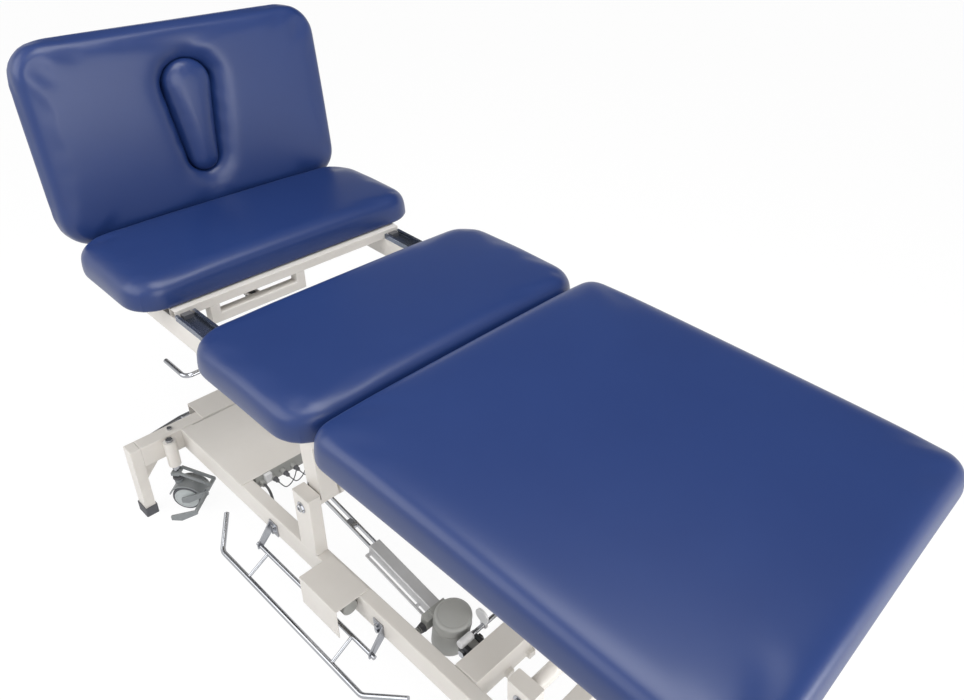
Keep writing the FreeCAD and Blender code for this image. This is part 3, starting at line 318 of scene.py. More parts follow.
FINISHES["white_plastic"] = make_finish(
    "white nylon", (0.76, 0.76, 0.77), (0.72, 0.72, 0.73), (0.82, 0.82, 0.82),
    (0.62, 0.6, 0.56), (0.3, 0.45), 0.00004, 0.0009)
FINISHES["wood"] = make_finish(
    "painted board", (0.05, 0.045, 0.04), (0.07, 0.06, 0.05), (0.16, 0.12, 0.08),
    (0.16, 0.14, 0.12), (0.5, 0.7), 0.0002, 0.0015, drift_size=14.0)
print("finishes:", sorted(FINISHES))

# %% [markdown]
# ## The rigid pieces
# Each rigid piece keeps its own shape. Real sheet and tube never has a knife edge, so a
# bevel is laid over it: the edges then catch the light. The piece takes the finish of the
# material slot that the part's record gives it.

# %% Finish the rigid pieces
node_slots = {entry["node"]: entry["material_slot"] for entry in frame["record"]["subparts"]}


def paint(piece, finish):
    """Gives a piece one finish."""
    piece.data.materials.clear()
    piece.data.materials.append(finish)


def soften(piece, width=0.0012, angle=35, segments=2):
    """Joins the split corners and rounds the sharp edges a little."""
    weld = piece.modifiers.new("weld", "WELD")
    weld.merge_threshold = 0.00002
    bevel = piece.modifiers.new("eased edges", "BEVEL")
    bevel.width = width
    bevel.segments = segments
    bevel.limit_method = "ANGLE"
    bevel.angle_limit = math.radians(angle)


for name, piece in nodes.items():
    paint(piece, FINISHES[node_slots[name]])
TUBES = ("base_rails", "base_beams", "drive_beam", "legs", "lift_posts", "frame_rails", "pivot_beams",
         "lift_arms_head", "lift_arms_foot", "spring_hanger")
SHEETS = ("floor_plate", "switch_covers", "pad_supports", "bar_brackets", "lift_crank", "control_box",
          "carriage_bars", "drive_clevis", "drive_rod", "drive_tube", "slide_bumpers", "back_frame")
for name in TUBES:
    soften(nodes[name], 0.0024)
for name in SHEETS:
    soften(nodes[name], 0.0006)
for name, width in (("rubber_boots", 0.005), ("foot_switches", 0.006), ("drive_motor", 0.0028)):
    soften(nodes[name], width, segments=3)
paint(nodes["slide_channels"], blued_slides_painted_highlights)
for name in nodes:
    if name.startswith(("caster_hood", "brake_pedal")):
        paint(nodes[name], hood_plastic)
print("pieces with a finish:", len(node_slots))

# %% [markdown]
# ## Leads
# A lead is a soft thing of a fixed length, so each one is a smooth curve led by a few
# points. The motor's lead leaves its gland, lies along the inside of the base rail and goes
# into the first socket of the control box. Three thin wires loop from the other sockets
# back under the plate.

# %% Lay the leads
SOCKET_Z = 0.193
SOCKET_PLACES = (-0.138, -0.110, -0.082)
LEAD_THICK, LEAD_LONG = 0.006, 0.59
WIRE_THICK, WIRE_LONG = 0.0026, 0.088


def lay_lead(name, points, thick, stands_for=None):
    """A smooth lead that its control points guide from one socket to another."""
    data = bpy.data.curves.new(name, "CURVE")
    data.dimensions = "3D"
    spline = data.splines.new("NURBS")
    spline.points.add(len(points) - 1)
    for point, spot in zip(spline.points, points):
        point.co = (*spot, 1)
    spline.order_u = 3
    spline.use_endpoint_u = True
    spline.resolution_u = 16
    data.bevel_depth = thick / 2
    data.bevel_resolution = 4
    data.use_fill_caps = True
    lead = bpy.data.objects.new(name, data)
    bpy.context.scene.collection.objects.link(lead)
    paint(lead, FINISHES["rubber"])
    if stands_for:
        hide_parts(stands_for)
    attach(lead, "base")


motor_route = [
    (0.1178, -0.1673, 0.1675), (0.1178, -0.181, 0.1675), (0.0478, -0.181, 0.164),
    (-0.388, -0.181, 0.164), (-0.424, -0.166, SOCKET_Z), (-0.4497, -0.166, SOCKET_Z)]
lay_lead("motor_lead_run", motor_route, LEAD_THICK, "motor_lead")
for number, y in enumerate(SOCKET_PLACES):
    wire_route = [
        (-0.4335, y, SOCKET_Z), (-0.420, y, SOCKET_Z - 0.001), (-0.420, y + 0.012, SOCKET_Z - 0.018),
        (-0.436, y + 0.044, SOCKET_Z - 0.018), (-0.4505, y + 0.058, SOCKET_Z - 0.006)]
    lay_lead(f"control_wire_{number + 1}", wire_route, WIRE_THICK)
print("leads:", 1 + len(SOCKET_PLACES))

# %% [markdown]
# ## The pads
# Each section is foam on a board, wrapped in vinyl that is drawn round the edge and stapled
# underneath. A block with round edges would look stiff, because drawn vinyl crowns over the
# foam, pulls in a little between the corners, and gathers where it goes round them. So each
# pad starts as a plain form, its underside is held where the board is, and cloth with air
# pressure inside swells it. Then it is fitted to its box.

# %% Plain pad form
EDGE_STEPS = (0.0, 0.0015, 0.005, 0.010, 0.016, 0.023, 0.031, 0.040, 0.050, 0.062)
CORNER_REACH = 0.07
TUCK_SIZE, TUCK_SHARE = 0.013, 0.6


def as_piece(name, made):
    """Turns a drawn form into a piece of the scene."""
    mesh = bpy.data.meshes.new(name)
    made.to_mesh(mesh)
    made.free()
    piece = bpy.data.objects.new(name, mesh)
    bpy.context.scene.collection.objects.link(piece)
    return piece


def spaced(low, high, step=0.015):
    """Places from low to high, close together near both ends."""
    count = max(2, round((high - low - 2 * EDGE_STEPS[-1]) / step))
    first = low + EDGE_STEPS[-1]
    last = high - EDGE_STEPS[-1]
    inner = [first + (last - first) * k / count for k in range(1, count)]
    return [low + s for s in EDGE_STEPS] + inner + [high - s for s in reversed(EDGE_STEPS)]


def round_corner(x, y, low, high, corner):
    """Moves a point of a square corner onto a round one.

    It also tells how far in the point lies, and its share of the x edge.
    """
    middle_x, middle_y = (low[0] + high[0]) / 2, (low[1] + high[1]) / 2
    side_x, side_y = math.copysign(1, x - middle_x), math.copysign(1, y - middle_y)
    edge_x, edge_y = (high[0] - low[0]) / 2, (high[1] - low[1]) / 2
    out_x, out_y = abs(x - middle_x), abs(y - middle_y)
    inset = min(edge_x - out_x, edge_y - out_y)
    a, b = out_x - (edge_x - corner), out_y - (edge_y - corner)
    share = 1.0 if edge_x - out_x < edge_y - out_y else 0.0
    if a > 0 and b > 0:
        reach = max(a, b)
        turn = math.pi / 4 * b / a if b <= a else math.pi / 2 - math.pi / 4 * a / b
        share = math.cos(turn) ** 2
        out_x = edge_x - corner + reach * math.cos(turn)
        out_y = edge_y - corner + reach * math.sin(turn)
    return middle_x + side_x * out_x, middle_y + side_y * out_y, inset, share


def quarter(inset, size):
    """How far a round edge of this size has dropped, this far in from its side."""
    bend = 1 - min(inset / size, 1)
    return size * (1 - math.sqrt(max(0, 1 - bend * bend)))


def pad_form(name, low, high, corner=0.074, roll=0.028, crown=0.0005, fall=0.15, pull=0.0015,
             corner_drop=0.011, rise=0.0, head_roll=None):
    """A closed pad from a grid: rolled edge, dropped corners, straight side, tucked underside."""
    xs, ys = spaced(low[0], high[0]), spaced(low[1], high[1])
    made = bmesh.new()

    def sheet(upper):
        rows = []
        for x in xs:
            row = []
            for y in ys:
                px, py, inset, share = round_corner(x, y, low, high, corner)
                along_x = 2 * (px - low[0]) / (high[0] - low[0]) - 1
                along_y = 2 * (py - low[1]) / (high[1] - low[1]) - 1
                px -= pull * math.copysign(1, along_x) * (1 - along_y ** 2) * along_x ** 6
                py -= pull * math.copysign(1, along_y) * (1 - along_x ** 2) * along_y ** 6
                if upper:
                    size = roll
                    if head_roll is not None and x < (low[0] + high[0]) / 2:
                        size = roll + (head_roll - roll) * share
                    from_corner = min(px - low[0], high[0] - px) + min(py - low[1], high[1] - py)
                    pz = high[2] - quarter(inset, size) - crown * (1 - min(inset / fall, 1)) ** 2
                    pz -= corner_drop * math.exp(-from_corner / CORNER_REACH) + rise * (along_x + 1) / 2
                else:
                    pz = low[2] + TUCK_SHARE * quarter(inset, TUCK_SIZE)
                row.append(made.verts.new((px, py, pz)))
            rows.append(row)
        for i in range(len(xs) - 1):
            for j in range(len(ys) - 1):
                corners = (rows[i][j], rows[i + 1][j], rows[i + 1][j + 1], rows[i][j + 1])
                made.faces.new(corners if upper else corners[::-1])
        last_x, last_y = len(xs) - 1, len(ys) - 1
        return ([rows[i][0] for i in range(last_x)] + [rows[last_x][j] for j in range(last_y)]
                + [rows[i][last_y] for i in range(last_x, 0, -1)]
                + [rows[0][j] for j in range(last_y, 0, -1)])

    upper_rim, lower_rim = sheet(True), sheet(False)
    for k in range(len(upper_rim)):
        n = (k + 1) % len(upper_rim)
        made.faces.new((lower_rim[k], lower_rim[n], upper_rim[n], upper_rim[k]))
    bmesh.ops.recalc_face_normals(made, faces=made.faces)
    return as_piece(name, made)


print("pad form ready")

# %% Stuff a pad
FOLD_RING, FOLD_HEIGHT = 0.75, 0.45


def stuff(piece, held_below, cap, pressure=4.0, frames=20):
    """Swells a closed form with air, with everything under a height held still."""
    start = [v.co.copy() for v in piece.data.vertices]
    held = piece.vertex_groups.new(name="held")
    held.add([v.index for v in piece.data.vertices if v.co.z < held_below], 1.0, "ADD")
    cloth = piece.modifiers.new("stuffing", "CLOTH")
    cloth.settings.quality = 6
    cloth.settings.mass = 0.3
    cloth.settings.tension_stiffness = 30
    cloth.settings.compression_stiffness = 30
    cloth.settings.shear_stiffness = 15
    cloth.settings.bending_stiffness = 2
    cloth.settings.use_pressure = True
    cloth.settings.uniform_pressure_force = pressure
    cloth.settings.vertex_group_mass = "held"
    cloth.settings.effector_weights.gravity = 0
    cloth.collision_settings.use_self_collision = False
    scene = bpy.context.scene
    for step in range(1, frames + 1):
        scene.frame_set(step)
    swollen = piece.evaluated_get(bpy.context.evaluated_depsgraph_get())
    places = [v.co.copy() for v in swollen.data.vertices]
    piece.modifiers.remove(cloth)
    piece.vertex_groups.remove(held)
    scene.frame_set(1)
    for vertex, old, new in zip(piece.data.vertices, start, places):
        move = new - old
        if move.length > 1e-7:
            move = move.normalized() * cap * math.tanh(move.length / cap)
        vertex.co = old + move


def ease(piece, rounds=2, share=0.4):
    """Evens out a mesh a little."""
    made = bmesh.new()
    made.from_mesh(piece.data)
    for _ in range(rounds):
        bmesh.ops.smooth_vert(made, verts=made.verts, factor=share,
                              use_axis_x=True, use_axis_y=True, use_axis_z=True)
    made.to_mesh(piece.data)
    made.free()


def gather(piece, low, high, corner, folds=7, depth=0.0012):
    """Small pleats low down on the round corners, where the vinyl is folded under."""
    tall = high[2] - low[2]
    middle_x, middle_y = (low[0] + high[0]) / 2, (low[1] + high[1]) / 2
    for vertex in piece.data.vertices:
        x, y, z = vertex.co.x - middle_x, vertex.co.y - middle_y, vertex.co.z
        a = abs(x) - ((high[0] - low[0]) / 2 - corner)
        b = abs(y) - ((high[1] - low[1]) / 2 - corner)
        if a <= 0 or b <= 0 or math.hypot(a, b) < corner * FOLD_RING:
            continue
        turn = math.atan2(b, a) / (math.pi / 2)
        strength = math.sin(math.pi * turn) * max(0, 1 - (z - low[2]) / (tall * FOLD_HEIGHT))
        out = Vector((math.copysign(a, x), math.copysign(b, y), 0)).normalized()
        vertex.co += out * (-depth * strength * (0.5 + 0.5 * math.cos(2 * math.pi * folds * turn)))


def fit(piece, low, high):
    """Stretches a form by a hair so that it fills its box."""
    for axis in range(3):
        places = [v.co[axis] for v in piece.data.vertices]
        first, last = min(places), max(places)
        scale = (high[axis] - low[axis]) / (last - first)
        for vertex in piece.data.vertices:
            vertex.co[axis] = low[axis] + (vertex.co[axis] - first) * scale


def finish_pad(piece, node, body):
    """Smooth skin, vinyl, and its place on the moving frame."""
    for face in piece.data.polygons:
        face.use_smooth = True
    rounder = piece.modifiers.new("finer skin", "SUBSURF")
    rounder.levels = rounder.render_levels = 1
    paint(piece, FINISHES["vinyl"])
    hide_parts(node)
    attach(piece, body)


print("stuffing ready")

# %% [markdown]
# The three level pads are made alike. Their boxes are read from the solids that they stand
# in for, with small shifts, and the forms leave room to swell. On the two short pads the
# vinyl comes down past the board's edge and is folded under it. The leg pad is filled a
# little fuller towards its head end. All corners are pulled down a little.

# %% Level pads
SWELL, SWELL_CAP = 0.001, 0.003
HELD_HIGH = 0.009
FOLD_UNDER = 0.0058
HEAD_ROLL = 0.012
# Each row: piece, solid, body, corner, fall towards the foot, shifts of the low and high corner.
level_pads = (
    ("leg_pad", "pad_leg", "top_frame", 0.047, 0.009, (-0.0065, 0.005, -0.0015), (0.001, 0.003, 0.014)),
    ("lumbar_pad", "pad_lumbar", "top_frame", 0.070, 0.0, (0, 0, -FOLD_UNDER), (0.003, 0.004, 0.004)),
    ("rolling_pad", "pad_rolling", "rolling", 0.076, 0.0, (0, 0, -FOLD_UNDER), (-0.006, 0, 0.004)))
for title, node, body, corner, rise, shift_low, shift_high in level_pads:
    solid_low, solid_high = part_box(node)
    box_low, box_high = solid_low + Vector(shift_low), solid_high + Vector(shift_high)
    low = box_low + Vector((SWELL, SWELL, 0))
    high = box_high - Vector((SWELL, SWELL, SWELL))
    pad = pad_form(title, low, high, corner, rise=rise,
                   head_roll=HEAD_ROLL if title == "lumbar_pad" else None)
    stuff(pad, low.z + HELD_HIGH, SWELL_CAP)
    gather(pad, low, high, corner)
    ease(pad)
    fit(pad, box_low, box_high)
    finish_pad(pad, node, body)
    print(title, [round(v, 3) for v in high - low], len(pad.data.vertices), "points")

# %% [markdown]
# The back section stands up on its hinge, so it is made lying flat and then turned. It has
# a drop-shaped breathing hole, closed by a stuffed plug. The vinyl is drawn down into the
# hole, so the pad's face dips softly towards it. Two slots at the hinge edge leave room for
# the hinge lugs. A hole can't come from the grid, so this pad is cut and then given an even
# skin before it is stuffed.

# %% Drop-shaped hole
RAISED = math.radians(84)
stand = Matrix.Translation(hinge_at["back_tilt"]) @ Matrix.Rotation(RAISED, 4, "Y")
DROP_WIDE, DROP_NARROW = 0.057, 0.037
DROP_FAR, DROP_NEAR = -0.286, -0.114


def drop_distance(x, y):
    """How far a point of the face lies outside the hole; inside is less than nothing."""
    long = DROP_NEAR - DROP_FAR
    lean = (DROP_WIDE - DROP_NARROW) / long
    rest = math.sqrt(1 - lean * lean)
    across, along = abs(y), x - DROP_FAR
    reach = along * rest - across * lean
    if reach < 0:
        return math.hypot(across, along) - DROP_WIDE
    if reach > rest * long:
        return math.hypot(across, along - long) - DROP_NARROW
    return across * rest + along * lean - DROP_WIDE


def drop_outline(inset, count=72):
    """Points round the hole, moved in by inset."""
    wide, narrow = DROP_WIDE - inset, DROP_NARROW - inset
    lean = math.asin((wide - narrow) / (DROP_NEAR - DROP_FAR))
    points = []
    half = count // 2
    for k in range(half):
        turn = math.pi / 2 - lean + (math.pi + 2 * lean) * k / (half - 1)
        points.append((DROP_FAR + wide * math.cos(turn), wide * math.sin(turn)))
    for k in range(half):
        turn = -math.pi / 2 + lean + (math.pi - 2 * lean) * k / (half - 1)
        points.append((DROP_NEAR + narrow * math.cos(turn), narrow * math.sin(turn)))
    return points


def loft(name, rings):
    """A closed form through rings of the same number of points."""
    made = bmesh.new()
    loops = [[made.verts.new(p) for p in ring] for ring in rings]
    count = len(rings[0])
    for lower, upper in zip(loops, loops[1:]):
        for k in range(count):
            n = (k + 1) % count
            made.faces.new((lower[k], lower[n], upper[n], upper[k]))
    made.faces.new(loops[0][::-1])
    made.faces.new(loops[-1])
    bmesh.ops.recalc_face_normals(made, faces=made.faces)
    return as_piece(name, made)


def apply_modifiers(piece):
    """Turns what the modifiers make into the piece's own mesh."""
    made = bpy.data.meshes.new_from_object(
        piece.evaluated_get(bpy.context.evaluated_depsgraph_get()))
    piece.modifiers.clear()
    old, piece.data = piece.data, made
    bpy.data.meshes.remove(old)


def cut_away(piece, tool):
    """Takes one form out of another and drops the tool."""
    cut = piece.modifiers.new("cut", "BOOLEAN")
    cut.object = tool
    cut.operation = "DIFFERENCE"
    cut.solver = "EXACT"
    apply_modifiers(piece)
    bpy.data.objects.remove(tool)


def even_skin(piece, size):
    """Gives the piece an even mesh of small faces."""
    skin = piece.modifiers.new("even skin", "REMESH")
    skin.mode = "VOXEL"
    skin.voxel_size = size
    apply_modifiers(piece)


print("hole is", round(DROP_NEAR - DROP_FAR + DROP_WIDE + DROP_NARROW, 3), "long")

# %% Back pad
BACK_LOW = Vector((-0.420, -0.337, -0.033 - FOLD_UNDER))
BACK_HIGH = Vector((0.022, 0.343, 0.024))
BACK_CORNER, BACK_ROLL, BACK_SKIN = 0.074, 0.023, 0.006
CUT_REACH = 0.05
SLOT_SIDE, SLOT_HALF = 0.251, 0.013
SLOT_END, SLOT_FRONT, SLOT_TOP = -0.010, 0.030, 0.010
DIP, DIP_REACH = 0.013, 0.020
back_pad = pad_form("back_pad", BACK_LOW, BACK_HIGH, BACK_CORNER, BACK_ROLL)
hole_rings = [[(x, y, z) for x, y in drop_outline(0)] for z in (-CUT_REACH, CUT_REACH)]
cut_away(back_pad, loft("hole_tool", hole_rings))
for side in (-1, 1):
    slot_low, slot_high = side * SLOT_SIDE - SLOT_HALF, side * SLOT_SIDE + SLOT_HALF
    ring = [(SLOT_END, slot_low), (SLOT_FRONT, slot_low), (SLOT_FRONT, slot_high), (SLOT_END, slot_high)]
    slot_rings = [[(x, y, z) for x, y in ring] for z in (-CUT_REACH, SLOT_TOP)]
    cut_away(back_pad, loft("slot_tool", slot_rings))
even_skin(back_pad, BACK_SKIN)
stuff(back_pad, BACK_LOW.z + HELD_HIGH, SWELL_CAP)
for vertex in back_pad.data.vertices:
    away = max(0, drop_distance(vertex.co.x, vertex.co.y))
    height = (vertex.co.z - BACK_LOW.z) / (BACK_HIGH.z - BACK_LOW.z)
    dip = DIP * math.exp(-(away / DIP_REACH) ** 1.6)
    vertex.co.z -= dip * max(0, min(1, height * 1.5 - 0.4))
gather(back_pad, BACK_LOW, BACK_HIGH, BACK_CORNER)
ease(back_pad, 4, 0.5)
fit(back_pad, BACK_LOW, BACK_HIGH)
back_pad.matrix_world = stand
finish_pad(back_pad, "pad_back", "back")
print("back pad:", len(back_pad.data.vertices), "points")

# %% [markdown]
# The plug is a small cushion of the same drop shape on a stiff base. Its face domes up out
# of the dip, and its edge turns down sharply beside the pad's lip, which leaves the thin
# dark line round it.

# %% Breathing-hole plug
PLUG_GAP, PLUG_SKIN, PLUG_CAP = 0.003, 0.004, 0.006
PLUG_BASE, PLUG_LIP, PLUG_FIRM = -0.025, 0.006, 0.9
DOME, DOME_REACH = 0.006, 0.034
plug_rings = []
for inset, height in (
        (0.010, -0.0325), (0.004, -0.0320), (0.001, -0.029), (0.0, -0.022), (0.0, -0.004),
        (0.0008, 0.004), (0.003, 0.009), (0.007, 0.0125), (0.013, 0.0150), (0.021, 0.0165)):
    plug_rings.append([(x, y, height) for x, y in drop_outline(inset + PLUG_GAP)])
plug = loft("breathing_plug", plug_rings)
even_skin(plug, PLUG_SKIN)
stuff(plug, PLUG_BASE, PLUG_CAP)
for vertex in plug.data.vertices:
    inside = max(0, -drop_distance(vertex.co.x, vertex.co.y) - PLUG_GAP)
    if vertex.co.z > PLUG_LIP:
        vertex.co.z += DOME * min(1, inside / DOME_REACH) ** 0.8
ease(plug, 3, 0.5)
plug.matrix_world = stand
finish_pad(plug, "face_plug", "face_plug")
print("plug:", len(plug.data.vertices), "points")

# %% [markdown]
# ## Small forms
# The forms below are too small or too fine for the rigid solids: treads and wheel discs,
# washers, nuts, plugs and a strain relief. Each could be built from ready-made cylinders,
# but turned parts have profiles, so two helpers make them as a maker would: turn a
# profile on a lathe, or press an outline out of sheet.

# %% Lathe and press
def turned(made, profile, place_at, steps=40):
    """Turns a profile of (radius, height) points round its own upright axis."""
    rings = []
    for radius, height in profile:
        ring = []
        for k in range(steps):
            turn = 2 * math.pi * k / steps
            spot = Vector((radius * math.cos(turn), radius * math.sin(turn), height))
            ring.append(made.verts.new(place_at @ spot))
        rings.append(ring)
    for lower, upper in zip(rings, rings[1:]):
        for k in range(steps):
            n = (k + 1) % steps
            made.faces.new((lower[k], lower[n], upper[n], upper[k]))
    made.faces.new(rings[0][::-1])
    made.faces.new(rings[-1])


def pressed(made, points, low, high, place_at):
    """An outline pressed from low to high along its own upright axis."""
    lower = [made.verts.new(place_at @ Vector((x, y, low))) for x, y in points]
    upper = [made.verts.new(place_at @ Vector((x, y, high))) for x, y in points]
    for k in range(len(points)):
        n = (k + 1) % len(points)
        made.faces.new((lower[k], lower[n], upper[n], upper[k]))
    made.faces.new(lower[::-1])
    made.faces.new(upper)


def add_piece(name, made, slot, body, finish=None, stands_for=None, angle=32, soft_edge=0.0):
    """Finishes a drawn form and gives it its place on the table."""
    bmesh.ops.recalc_face_normals(made, faces=made.faces)
    piece = as_piece(name, made)
    for face in piece.data.polygons:
        face.use_smooth = True
    piece.data.set_sharp_from_angle(angle=math.radians(angle))
    if soft_edge:
        soften(piece, soft_edge)
    paint(piece, finish or FINISHES[slot])
    if stands_for:
        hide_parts(stands_for)
    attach(piece, body)


def facing(at, axis):
    """A place whose upright axis points along x or y, towards plus or minus."""
    way = {"x": Vector((1, 0, 0)), "-x": Vector((-1, 0, 0)),
           "y": Vector((0, 1, 0)), "-y": Vector((0, -1, 0))}[axis]
    return Matrix.Translation(at) @ way.to_track_quat("Z", "Y").to_matrix().to_4x4()


print("lathe and press ready")

# %% [markdown]
# ### Casters
# Each caster has twin wheels: a dark tread, and a pale disc over each outer face with a
# shallow rim and a hub boss. The tread's edge shows as a dark ring round the disc. Above
# the hood the stem wears a chromed sleeve on a dark collar.

# %% Twin wheels
WHEEL, TRAIL, GAP, WIDE = 0.0375, 0.021, 0.007, 0.016
CASTER_TURNS = {"head_left": 40, "head_right": 320, "foot_left": 140, "foot_right": 220}
for label, degrees in CASTER_TURNS.items():
    swivel, axle_z = hinge_at[f"swivel_{label}"], hinge_at[f"spin_{label}"].z
    spot = Matrix.Translation((swivel.x, swivel.y, 0)) @ Matrix.Rotation(math.radians(degrees), 4, "Z")
    hub = spot @ Matrix.Translation((TRAIL, 0, axle_z)) @ Matrix.Rotation(-math.pi / 2, 4, "X")
    tread, discs, stem, collar = bmesh.new(), bmesh.new(), bmesh.new(), bmesh.new()
    turned(tread, [(0.004, -GAP - WIDE), (0.004, GAP + WIDE)], hub, 20)
    for side in (-1, 1):
        face = hub if side > 0 else hub @ Matrix.Rotation(math.pi, 4, "X")
        turned(tread, [(0.006, GAP), (WHEEL - 0.004, GAP), (WHEEL - 0.001, GAP + 0.002),
                       (WHEEL, GAP + 0.006), (WHEEL, GAP + 0.011), (WHEEL - 0.0015, GAP + 0.0145),
                       (WHEEL - 0.005, GAP + WIDE - 0.0004), (0.02, GAP + WIDE - 0.0016),
                       (0.006, GAP + WIDE - 0.0016)], face, 56)
        turned(discs, [(0.0305, GAP + WIDE - 0.002), (0.0305, GAP + WIDE + 0.0006),
                       (0.0295, GAP + WIDE + 0.0012), (0.0265, GAP + WIDE + 0.0012),
                       (0.0255, GAP + WIDE + 0.0004), (0.012, GAP + WIDE + 0.0010),
                       (0.0085, GAP + WIDE + 0.0022), (0.0075, GAP + WIDE + 0.0034),
                       (0.002, GAP + WIDE + 0.0036)], face, 56)
    add_piece(f"caster_tread_{label}", tread, "rubber", f"wheel_{label}",
              stands_for=f"caster_wheel_{label}")
    add_piece(f"caster_discs_{label}", discs, "caster_grey", f"wheel_{label}")
    turned(stem, [(0.0058, 0.0965), (0.0082, 0.0972), (0.0086, 0.0985),
                  (0.0086, 0.1300), (0.0080, 0.1318), (0.0058, 0.1322)], spot, 32)
    turned(collar, [(0.0112, 0.0905), (0.0128, 0.0912), (0.0134, 0.0925),
                    (0.0134, 0.0958), (0.0126, 0.0972), (0.0100, 0.0976)], spot, 40)
    add_piece(f"caster_stem_{label}", stem, "chrome", f"caster_{label}")
    add_piece(f"caster_collar_{label}", collar, "rubber", f"caster_{label}")
print("casters:", len(CASTER_TURNS))

# %% [markdown]
# ### Fasteners
# The lift's pivot bolts sit on plain washers. The dark socket in each head is painted shade:
# a thin dark hexagon laid on the head where the recess would be. A nut and a stud hold the
# head arms to their torque tube.

# %% Washers, painted socket shade and nuts
def hexagon(size):
    """The six corners of a hexagon, this far from its middle."""
    return [(size * math.cos(k * math.pi / 3), size * math.sin(k * math.pi / 3)) for k in range(6)]


washers, painted_socket_shade, nuts = bmesh.new(), bmesh.new(), bmesh.new()
POST_FACE, HEAD_FACE = 0.2150, 0.2210
STUD_X, STUD_SIDE, STUD_Z = -0.2205, 0.170, 0.364
for pivot in (hinge_at["lift"], hinge_at["lift_foot_arms"]):
    for side, way in ((-1, "-y"), (1, "y")):
        seat = facing((pivot.x, side * POST_FACE, pivot.z), way)
        turned(washers, [(0.0085, 0.0), (0.0132, 0.0), (0.0138, 0.0005), (0.0138, 0.0012),
                         (0.0132, 0.0017), (0.0085, 0.0017)], seat, 40)
        head = facing((pivot.x, side * HEAD_FACE, pivot.z), way)
        turned(washers, [(0.0085, 0.0), (0.0080, 0.0008), (0.0052, 0.0012), (0.0048, 0.0004)], head, 32)
        # A thin dark hexagon on each head is painted shade for its socket's recess.
        pressed(painted_socket_shade, hexagon(0.0046), 0.0, 0.0005, head)
for side in (-1, 1):
    stud = facing((STUD_X, side * STUD_SIDE, STUD_Z), "-x")
    turned(nuts, [(0.004, -0.0120), (0.0125, -0.0120), (0.0130, -0.0108), (0.0125, -0.0098),
                  (0.004, -0.0098)], stud, 36)
    pressed(nuts, hexagon(0.0095), -0.0098, -0.0025, stud)
    turned(nuts, [(0.0052, -0.0025), (0.0052, 0.004), (0.0044, 0.0052), (0.001, 0.0052)], stud, 24)
add_piece("pivot_washers", washers, "chrome", "base")
# The dark hexagons are painted socket shade, in the rubber finish.
add_piece("bolt_socket_painted_shade", painted_socket_shade, "rubber", "base", angle=20)
add_piece("arm_nuts", nuts, "chrome", "lift_head", angle=20)
print("fasteners made")

# %% [markdown]
# ### Motor and drive
# The motor's lead comes out through a ribbed rubber relief. A thin ring marks where the
# motor's cap closes on its body, and a shallow round field covers the cap's top.

# %% Motor trim
DRIVE_RISE, DRIVE_RUN = 0.0807, 0.5035
GLAND_AT, CAP_AT = (-0.103, -0.029, -0.016), (-0.059, 0, 0.018)
RIBS, RIB_PITCH = 4, 0.0036
drive_lean = Matrix.Rotation(math.atan2(DRIVE_RISE, DRIVE_RUN), 4, "Y")
drive = Matrix.Translation(hinge_at["drive_tilt"]) @ drive_lean
relief, trim = bmesh.new(), bmesh.new()
ribs = [(0.0084, 0.006)]
for k in range(RIBS):
    base = 0.008 + RIB_PITCH * k
    wide = 0.0108 - 0.0008 * k
    ribs += [(wide, base), (wide, base + 0.0018),
             (wide - 0.0016, base + 0.0022), (wide - 0.0016, base + RIB_PITCH)]
ribs.append((0.0034, 0.0232))
gland_seat = drive @ Matrix.Translation(GLAND_AT) @ Matrix.Rotation(math.pi / 2, 4, "X")
turned(relief, ribs, gland_seat, 32)
cap_seat = drive @ Matrix.Translation(CAP_AT)
turned(trim, [(0.0385, -0.0016), (0.0396, -0.0012), (0.0400, 0.0), (0.0396, 0.0012),
              (0.0385, 0.0016)], cap_seat, 64)
turned(trim, [(0.030, 0.0266), (0.030, 0.0276), (0.0288, 0.0281), (0.004, 0.0281)], cap_seat, 64)
add_piece("lead_relief", relief, "rubber", "drive")
add_piece("motor_cap_ring", trim, "grey_plastic", "drive")
print("motor trim made")

# %% [markdown]
# ### Control box
# A row of plugs hangs under the plate's foot edge: one white block plug, and dark round
# plugs on the sockets that the thin wires come from.

# %% Plugs
SOCKET_FACE = -0.450
BLOCK_AT, BLOCK_WIDE, BLOCK_HIGH, BLOCK_DEEP = (-0.4638, -0.150, 0.200), 0.009, 0.012, 0.010
plugs, block = bmesh.new(), bmesh.new()
for y in SOCKET_PLACES:
    seat = facing((SOCKET_FACE, y, SOCKET_Z), "x")
    turned(plugs, [(0.0062, 0.0), (0.0062, 0.003), (0.0050, 0.004), (0.0050, 0.011), (0.0032, 0.0125),
                   (0.0022, 0.017)], seat, 24)
block_shape = [(-BLOCK_WIDE, -BLOCK_HIGH), (BLOCK_WIDE, -BLOCK_HIGH),
               (BLOCK_WIDE, BLOCK_HIGH), (-BLOCK_WIDE, BLOCK_HIGH)]
pressed(block, block_shape, 0.0, BLOCK_DEEP, facing(BLOCK_AT, "x"))
add_piece("control_plugs", plugs, "rubber", "base")
add_piece("control_block_plug", block, "white_plastic", "base", soft_edge=0.0012)
print("control box dressed")

# %% [markdown]
# ## Floor and light
# The picture has a plain white ground. The floor is a pale sheet that turns up all round
# into a backdrop, and it still takes the table's shadow. It shows white to the camera and
# in reflections alike. The room above it is bright on the side the picture is taken from
# and dim behind the table, so chrome keeps its dark lines, and a soft box overhead gives
# the vinyl its sheen along the rolled edges.

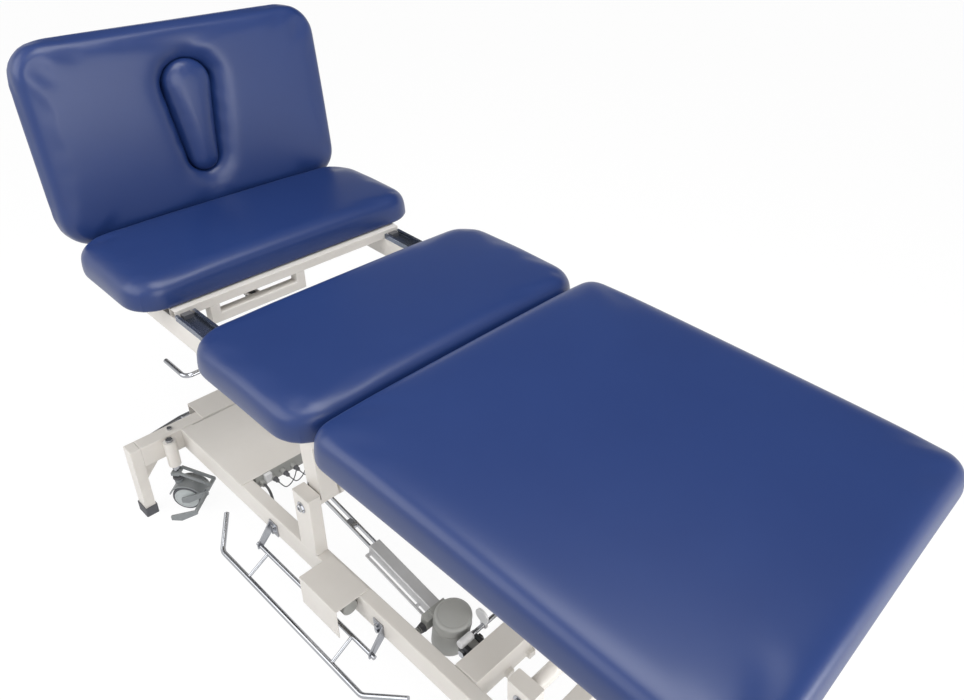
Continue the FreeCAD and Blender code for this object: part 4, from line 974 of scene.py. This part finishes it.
# %% Floor
FLAT, TURN_UP, ROUND, TURN_STEP = 9.0, 5.0, 48, 15
FLOOR_DROP = 0.0005
WHITE, WHITE_SHARE = 1.04, 0.9
sweep = bmesh.new()
rings = []
for turn in range(0, 91, TURN_STEP):
    out = FLAT + TURN_UP * math.sin(math.radians(turn))
    up = TURN_UP * (1 - math.cos(math.radians(turn)))
    rings.append([sweep.verts.new((out * math.cos(k * 2 * math.pi / ROUND),
                                   out * math.sin(k * 2 * math.pi / ROUND), up)) for k in range(ROUND)])
sweep.faces.new(rings[0])
for lower, upper in zip(rings, rings[1:]):
    for k in range(ROUND):
        n = (k + 1) % ROUND
        sweep.faces.new((lower[k], lower[n], upper[n], upper[k]))
floor = as_piece("studio_floor", sweep)
floor.location.z = -FLOOR_DROP
pale = bpy.data.materials.new("pale studio floor")
pale.use_nodes = True
tree = pale.node_tree
diffuse = tree.nodes["Principled BSDF"]
diffuse.inputs["Base Color"].default_value = (0.86, 0.86, 0.86, 1)
diffuse.inputs["Roughness"].default_value = 0.9
rays = place(tree, "ShaderNodeLightPath")
seen = place(tree, "ShaderNodeMath", {
    0: rays.outputs["Is Camera Ray"], 1: rays.outputs["Is Transmission Ray"]}, operation="ADD")
shown = place(tree, "ShaderNodeMath", {
    0: seen.outputs["Value"], 1: rays.outputs["Is Glossy Ray"]}, operation="ADD", use_clamp=True)
share = place(tree, "ShaderNodeMath", {0: shown.outputs["Value"], 1: WHITE_SHARE}, operation="MULTIPLY")
white = place(tree, "ShaderNodeEmission", {"Color": (1, 1, 1, 1), "Strength": WHITE})
mixed = place(tree, "ShaderNodeMixShader", {
    "Fac": share.outputs["Value"], 1: diffuse.outputs["BSDF"], 2: white.outputs["Emission"]})
tree.links.new(mixed.outputs["Shader"], tree.nodes["Material Output"].inputs["Surface"])
paint(floor, pale)
floor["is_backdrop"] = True
print("floor ready")

# %% Light
world = bpy.data.worlds.new("studio")
bpy.context.scene.world = world
world.use_nodes = True
tree = world.node_tree
BRIGHT_SIDE = (0.40, -0.78, 0.48)
DIM, BRIGHT = 0.05, 0.75
heading = place(tree, "ShaderNodeTexCoord")
towards = place(tree, "ShaderNodeVectorMath", {
    0: heading.outputs["Generated"], 1: BRIGHT_SIDE}, operation="DOT_PRODUCT")
room = place(tree, "ShaderNodeMapRange", {
    "Value": towards.outputs["Value"], "From Min": -0.45, "From Max": 0.9,
    "To Min": DIM, "To Max": BRIGHT})
backdrop = tree.nodes["Background"]
backdrop.inputs["Color"].default_value = (1, 1, 1, 1)
tree.links.new(room.outputs["Result"], backdrop.inputs["Strength"])


def soft_box(name, at, target, wide, high, power):
    """A square-cornered lamp that looks at a target. Its power is in watts."""
    data = bpy.data.lights.new(name, "AREA")
    data.shape = "RECTANGLE"
    data.size, data.size_y, data.energy = wide, high, power
    lamp = bpy.data.objects.new(name, data)
    bpy.context.scene.collection.objects.link(lamp)
    lamp.location = at
    lamp.rotation_euler = (Vector(target) - Vector(at)).to_track_quat("-Z", "Y").to_euler()


soft_box("overhead_soft_box", (0.3, -0.05, 2.75), (0.25, 0.0, 0.7), 1.6, 1.2, 32)
soft_box("main_soft_box", (-1.2, -2.4, 2.2), (-0.4, -0.1, 0.3), 3.0, 2.0, 46)
soft_box("fill_soft_box", (3.0, -0.9, 1.9), (-0.4, 0.0, 0.5), 2.0, 2.0, 44)
soft_box("foot_soft_box", (3.1, 0.6, 0.5), (-0.8, -0.1, 1.0), 1.5, 1.0, 36)

# %% Close
box_low, box_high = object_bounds()
print("visual size:", [round(v, 3) for v in box_high - box_low])
